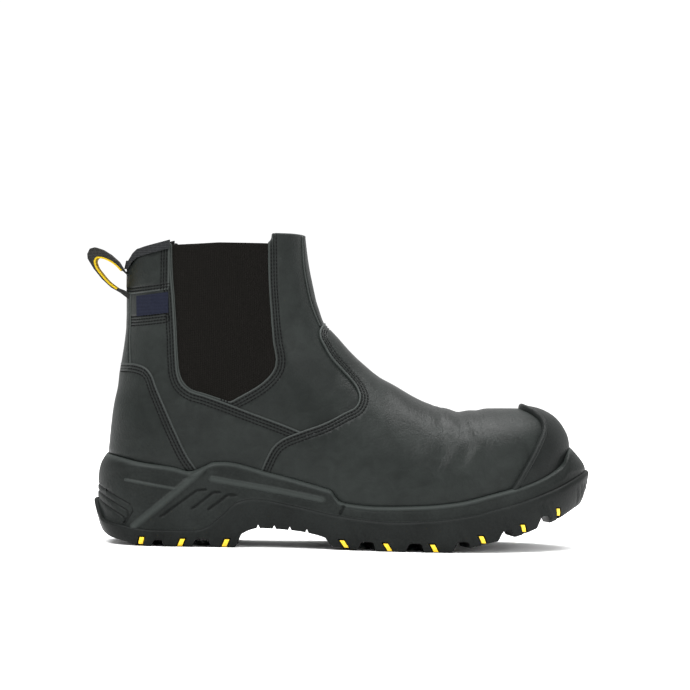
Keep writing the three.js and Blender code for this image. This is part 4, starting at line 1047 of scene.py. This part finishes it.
def loop_ribbon():
    low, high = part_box("pull_loop")
    half = (high[1] - low[1]) / 2 / MILLIMETRE + YARN_EDGE
    middle = (high[1] + low[1]) / 2 / MILLIMETRE
    line = flowing(LOOP_INNER)
    ahead = np.gradient(line, axis=0)
    inwards = np.stack([ahead[:, 1], -ahead[:, 0]], axis=1)
    inwards /= np.linalg.norm(inwards, axis=1, keepdims=True)
    centre_line = line.mean(axis=0)
    if np.mean(np.sum((centre_line - line) * inwards, axis=1)) < 0:
        inwards *= -1
    rings = []
    for at, towards in zip(line, inwards):
        near = at - towards * YARN_THICKNESS
        far = at + towards * YARN_THICKNESS
        rings.append([
            (near[0], middle - half, near[1]), (far[0], middle - half, far[1]),
            (far[0], middle + half, far[1]), (near[0], middle + half, near[1]),
        ])
    ribbon = ring_solid("loop_yarn", [np.array(ring) for ring in rings])
    mesh = ribbon.data
    bpy.data.objects.remove(ribbon)
    obj = dressed(mesh, webbing_yellow, None)
    obj.data.set_sharp_from_angle(angle=math.radians(40))

# The sole
SOLE_BACK = float(along_x(0))
SOLE_TIP = float(along_x(1))
HEEL_END_LIP = float(along_x(0.03)) - SOLE_BACK
TOE_END_LIP = SOLE_TIP - float(along_x(FOOT_SECTIONS[0][0]))
SOLE_TOE_REACH = 0.26 * SOLE_LENGTH
SOLE_HEEL_REACH = 0.53 * HEEL_WIDTH
MIDSOLE_POINTS = 240
OUTSOLE_POINTS = 300
OUTSOLE_SHARP = math.radians(38)
BAR_BEVEL = 0.0003


def outline_y(x, side):
    ends = rounded(x - SOLE_BACK, SOLE_HEEL_REACH, 2.1) * rounded(SOLE_TIP - x, SOLE_TOE_REACH, 2.2)
    middle = middle_line(x)
    if side < 0:
        return middle - (outer_width(x) + middle) * ends
    return middle + (inner_width(x) - middle) * ends


def sole_outline(count):
    shares = (1 - np.cos(np.linspace(0, np.pi, count))) / 2
    x = along_x(shares)
    outer = np.stack([x, outline_y(x, -1)], axis=1)
    inner = np.stack([x, outline_y(x, 1)], axis=1)
    points = np.vstack([outer, inner[1:-1][::-1]])
    ahead = np.roll(points, -1, axis=0) - np.roll(points, 1, axis=0)
    outward = np.stack([ahead[:, 1], -ahead[:, 0]], axis=1)
    return points, outward / np.linalg.norm(outward, axis=1, keepdims=True)


def lip_widths(outward):
    end = np.where(outward[:, 0] < 0, HEEL_END_LIP, TOE_END_LIP)
    return SOLE_LIP * outward[:, 1] ** 2 + end * outward[:, 0] ** 2


def midsole_rings(count):
    points, outward = sole_outline(count)
    lip = lip_widths(outward)
    rings = []
    for share, flare in zip(MIDSOLE_WALL, MIDSOLE_FLARE):
        moved = points - outward * (MIDSOLE_INSET - flare)
        low = parting(moved[:, 0])
        height = top_edge(moved[:, 0]) - low
        rings.append(np.column_stack([moved, low + share * (height - shoulder_drop(height, outward))]))
    end = outward[:, 0] ** 2
    for down, share, bulge in MIDSOLE_SHOULDER:
        at_end = np.where(outward[:, 0] < 0, HEEL_SHOULDER[0], TOE_SHOULDER[0])
        power = np.where(outward[:, 0] < 0, HEEL_SHOULDER[1], TOE_SHOULDER[1])
        over_end = at_end * (1 - min(down, 1)) ** power if share < 0.7 else share
        part = mix(share, over_end, end)
        bulging = bulge * (1 - end)
        moved = points - outward * (MIDSOLE_INSET - bulging + part * (lip - MIDSOLE_INSET))[:, None]
        high = top_edge(moved[:, 0])
        height = high - parting(moved[:, 0])
        rings.append(np.column_stack([moved, high - down * shoulder_drop(height, outward)]))
    return np.array(rings)


def shoulder_drop(height, outward):
    """How far down the midsole's rounded shoulder reaches: more over the ends of the sole."""
    return mix(8 * np.minimum(1, height / 14), 0.85 * height, outward[:, 0] ** 2)


def midsole():
    rings = midsole_rings(MIDSOLE_POINTS)
    wrapped = np.concatenate([rings[:, -1:], rings, rings[:, :1]], axis=1)
    normals = grid_normals(wrapped, 1)[:, 1:-1]
    sheet = Sheet(rings, normals, grid_faces(len(rings), rings.shape[1], closed=True))
    face_out(sheet)
    for profile, line in MIDSOLE_LINES:
        sheet.relief(line, profile)
        # Ridges get a painted highlight and grooves get painted shade
        light_or_shade = PAINTED_SHADE if profile[0][1] < 0 else EDGE_WEAR_AND_HIGHLIGHT
        sheet.mark(light_or_shade, [(0, 0.8), (profile[-1][0] * 0.7, 0.4 if light_or_shade == EDGE_WEAR_AND_HIGHLIGHT else 0), (profile[-1][0], 0)])
    height = sheet.points[:, 2] - top_edge(sheet.points[:, 0])
    # A painted highlight along the midsole's rounded top, over its last 3 mm below the upper
    sheet.points[:, EDGE_WEAR_AND_HIGHLIGHT] = np.maximum(sheet.points[:, EDGE_WEAR_AND_HIGHLIGHT], smooth((height + 3.2) / 2.2) * 0.8)
    sheet.points[:, HEIGHT] *= smooth(-(height + 0.8) / 1.5)
    obj = sheet.build("moulded_midsole", foam)
    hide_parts("midsole")


def face_out(sheet):
    """Turns a sole layer's directions and faces away from the sole's middle."""
    flat = sheet.points[:, PLACE] - np.array([along_x(0.5), 0, 0])
    if np.mean(np.sum(flat[:, :2] * sheet.points[:, 3:5], axis=1)) < 0:
        sheet.points[:, OUTWARD] *= -1
        sheet.faces = [face[::-1] for face in sheet.faces]


def flutes(x, z):
    """Slanted flutes and the toe's fine hatch on the outsole's side, as a height above it."""
    base = tread(x)
    share = (z - base) / np.maximum(parting(x) - base, 1)
    forward = x > along_x(0.5)
    height = np.zeros_like(x)
    for start, end, _, _ in LUG_GAPS:
        middle = along_x((start + end) / 2)
        half = (along_x(end) - along_x(start)) / 2
        slant = np.where(forward, -0.55, 0.2) * (z - tread(middle))
        for place, deep in ((-0.55, 0.9), (0.45, 1.1), (1.5, 0.55)):
            off = np.abs(x - (middle + place * half + slant))
            height -= deep * smooth(1 - off / 1.9) * smooth((0.86 - share) / 0.2) * smooth(share / 0.1)
    tip = smooth((x - along_x(0.965)) / 3)
    hatch = np.sin(z * 4.2) * 0.28 + np.sin(x * 3.1 + z * 2.1) * 0.12
    return height + tip * hatch * smooth(share / 0.1) * smooth((0.7 - share) / 0.15)


def strips(first, last, count, flip):
    """The flat faces across the sole between its outer and its inner side, along one ring."""
    faces = []
    half = count // 2
    for i in range(1, half + 1):
        face = [first + i - 1, first + i, first + (count - i) % count, first + (count - i + 1) % count]
        face = [corner for k, corner in enumerate(face) if corner not in face[:k]]
        faces.append(tuple(face[::-1] if flip else face))
    return faces


def solid_mesh(name, places, faces):
    mesh = bpy.data.meshes.new(name)
    mesh.from_pydata((np.asarray(places) * MILLIMETRE).tolist(), [], faces)
    mesh.validate()
    obj = bpy.data.objects.new(name, mesh)
    bpy.context.scene.collection.objects.link(obj)
    return obj


def ring_solid(name, rings):
    """A closed solid through rings of equal count, with the first and last ring as its end faces."""
    count = len(rings[0])
    faces = grid_faces(len(rings), count, closed=True)
    faces.append(tuple(range(count))[::-1])
    faces.append(tuple(range((len(rings) - 1) * count, len(rings) * count)))
    obj = solid_mesh(name, np.vstack(rings), faces)
    mesh = obj.data
    work = bmesh.new()
    work.from_mesh(mesh)
    bmesh.ops.recalc_face_normals(work, faces=work.faces)
    work.to_mesh(mesh)
    work.free()
    return obj


def lug_gap_rings(start, end, depth, ceiling_share):
    from_x = along_x(start)
    to_x = along_x(end)
    middle = (from_x + to_x) / 2
    half = (to_x - from_x) / 2
    base = min(tread(from_x), tread(to_x))
    ceiling = tread(middle) + LUG_DEPTH * depth
    sweep = CHANNEL_SWEEP if middle > along_x(0.4) else 0
    flare = 2 - ceiling_share
    rings = []
    for share in np.linspace(-1, 1, 9):
        shift = sweep * (2 * abs(share) - 1)
        y = share * BALL_WIDTH
        corners = [(-flare, base - LUG_DEPTH), (flare, base - LUG_DEPTH)]
        corners += [(ceiling_share + 0.12, ceiling - 0.7), (ceiling_share - 0.12, ceiling)]
        corners += [(0.12 - ceiling_share, ceiling), (-ceiling_share - 0.12, ceiling - 0.7)]
        rings.append(np.array([(middle + half * across + shift, y, z) for across, z in corners]))
    return rings


def slot_rings(share, lean, side):
    """The slot around a small leaning bar, set in from the sole's edge."""
    x = along_x(share)
    turn = outline_y(x + 0.5, side) - outline_y(x - 0.5, side)
    along = np.array([1.0, turn]) / math.hypot(1, turn)
    inwards = np.array([along[1] * side, -along[0] * side])
    edge = np.array([x, outline_y(x, side)])
    low = tread(x) - LUG_DEPTH
    high = tread(x) + 2 * CLEARANCE + INSERT_HEIGHT + SLOT_ROOM
    half = INSERT_WIDTH / 2 + SLOT_ROOM
    deep = INSERT_DEPTH + SLOT_ROOM
    rings = []
    for z in (low, high):
        shift = (tread(x) - z) * lean
        corners = []
        for sideways, inward in ((-half, -INSERT_DEPTH), (half, -INSERT_DEPTH), (half, deep), (-half, deep)):
            place = edge + along * (sideways + shift) + inwards * inward
            corners.append((place[0], place[1], z))
        rings.append(np.array(corners))
    return rings


def cut_with(obj, cutter):
    change = obj.modifiers.new("cut", "BOOLEAN")
    change.operation = "DIFFERENCE"
    change.solver = "EXACT"
    change.object = cutter


def joined(name, objects):
    """One object from several, so that one cut does for them all."""
    work = bmesh.new()
    for obj in objects:
        work.from_mesh(obj.data)
        bpy.data.objects.remove(obj)
    mesh = bpy.data.meshes.new(name)
    work.to_mesh(mesh)
    work.free()
    whole = bpy.data.objects.new(name, mesh)
    bpy.context.scene.collection.objects.link(whole)
    return whole


def outsole():
    points, outward = sole_outline(OUTSOLE_POINTS)
    rings = []
    for rise, inset in OUTSOLE_SIDE:
        moved = points - outward * inset
        z = mix(tread(moved[:, 0]), parting(points[:, 0]), rise)
        bulge = flutes(moved[:, 0], z) * (0.15 < rise < 0.9)
        rings.append(np.column_stack([moved + outward * bulge[:, None], z]))
    count = len(points)
    faces = grid_faces(len(rings), count, closed=True)
    faces += strips(0, count, count, True) + strips((len(rings) - 1) * count, count, count, False)
    block = solid_mesh("outsole_block", np.vstack(rings), faces)
    gaps = [ring_solid("gap", lug_gap_rings(*row)) for row in LUG_GAPS]
    gaps += [ring_solid("notch", notch_rings(share)) for share in ARCH_NOTCHES]
    slots = [ring_solid("slot", slot_rings(*row, side)) for row in INSERTS for side in (-1, 1)]
    cutters = [joined("gaps", gaps), joined("slots", slots), ring_solid("channel", channel_rings())]
    for cutter in cutters:
        cut_with(block, cutter)
    graph = bpy.context.evaluated_depsgraph_get()
    mesh = bpy.data.meshes.new_from_object(block.evaluated_get(graph))
    mesh.name = "lugged_outsole"
    for obj in [block] + cutters:
        bpy.data.objects.remove(obj)
    dressed(mesh, rubber, "outsole")
    mesh.set_sharp_from_angle(angle=OUTSOLE_SHARP)


def notch_rings(share):
    x = along_x(share)
    z = tread(x)
    corners = [(x - 2.6, z - 3), (x + 2.2, z - 3), (x - 0.4, z + 2.2)]
    return [np.array([(across, y, up) for across, up in corners]) for y in (-BALL_WIDTH, BALL_WIDTH)]


def channel_rings():
    places = np.linspace(along_x(0.55), along_x(0.9), 12)
    half = CHANNEL_WIDTH / 2
    rings = []
    for x in places:
        top = tread(x) + LUG_DEPTH * 0.8
        rings.append(np.array([(x, -half, -9), (x, half, -9), (x, half * 0.8, top), (x, -half * 0.8, top)]))
    return rings


def bars():
    """The yellow bars in the lugs, with rounded edges."""
    for index in range(len(INSERTS)):
        for word in ("lateral", "medial"):
            name = f"lug_insert_{word}_{index + 1}"
            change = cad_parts[name].modifiers.new("rounding", "BEVEL")
            change.width = BAR_BEVEL
            change.segments = 2


midsole()
outsole()
bars()
loop_ribbon()

node_materials = {
    "insole": lining_cloth, "side_label": label_cloth, "collar_binding": binding_cloth, "pull_loop": webbing,
}
for name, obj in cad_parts.items():
    material = yellow if name.startswith("lug_insert") else node_materials.get(name)
    if material:
        obj.data.materials.clear()
        obj.data.materials.append(material)


# The floor, the light and the camera
FLOOR_SIZE = 6.0
WORLD_STRENGTH = 1.06


def stage():
    mesh = bpy.data.meshes.new("floor")
    signs = ((-1, -1), (1, -1), (1, 1), (-1, 1))
    corners = [(across * FLOOR_SIZE, along * FLOOR_SIZE, 0) for across, along in signs]
    mesh.from_pydata(corners, [], [(0, 1, 2, 3)])
    mesh.materials.append(satin_finish("pale_floor", (0.94, 0.94, 0.94), (0.95, 0.95, 0.95), 0.9, 3.0))
    floor = bpy.data.objects.new("floor", mesh)
    bpy.context.scene.collection.objects.link(floor)
    world = bpy.data.worlds.new("studio")
    world.use_nodes = True
    world.node_tree.nodes["Background"].inputs["Color"].default_value = (1, 1, 1, 1)
    world.node_tree.nodes["Background"].inputs["Strength"].default_value = WORLD_STRENGTH
    bpy.context.scene.world = world
    bpy.context.scene.view_settings.view_transform = "Standard"


def softbox(name, place, target, size, power):
    light = bpy.data.lights.new(name, "AREA")
    light.shape = "RECTANGLE"
    light.size, light.size_y = size
    light.energy = power
    obj = bpy.data.objects.new(name, light)
    obj.location = place
    obj.rotation_euler = (Vector(target) - Vector(place)).to_track_quat("-Z", "Y").to_euler()
    bpy.context.scene.collection.objects.link(obj)


# Name, place, target, size and power in watts
SOFTBOXES = [
    ("key", (-0.75, -1.0, 1.9), (0.1, 0, 0.08), (1.3, 0.9), 62),
    ("top", (0.35, 0.35, 1.7), (0.12, 0, 0.08), (1.6, 0.9), 44),
    ("fill", (1.3, -1.4, 0.8), (0.12, 0, 0.08), (0.7, 1.0), 13),
]
PIXEL = 0.6182
FRAME_PIXELS = 690
CAMERA_DISTANCE = 2.2
CAMERA_RISE = math.radians(1.0)
ROLL = 0.0167
AIM = Vector((0.09995, 0.0, 0.1238))


def camera():
    data = bpy.data.cameras.new("camera")
    data.sensor_width = 36
    data.lens = 36 * CAMERA_DISTANCE / (PIXEL * FRAME_PIXELS * MILLIMETRE)
    obj = bpy.data.objects.new("camera", data)
    backward = Vector((0, -math.cos(CAMERA_RISE), math.sin(CAMERA_RISE)))
    level_right = Vector((1, 0, 0))
    level_up = backward.cross(level_right)
    right = level_right * math.cos(ROLL) + level_up * math.sin(ROLL)
    up = level_up * math.cos(ROLL) - level_right * math.sin(ROLL)
    matrix = Matrix((right, up, backward)).transposed().to_4x4()
    matrix.translation = AIM + backward * CAMERA_DISTANCE
    obj.matrix_world = matrix
    bpy.context.scene.collection.objects.link(obj)
    bpy.context.scene.camera = obj


stage()
for light_row in SOFTBOXES:
    softbox(*light_row)
camera()
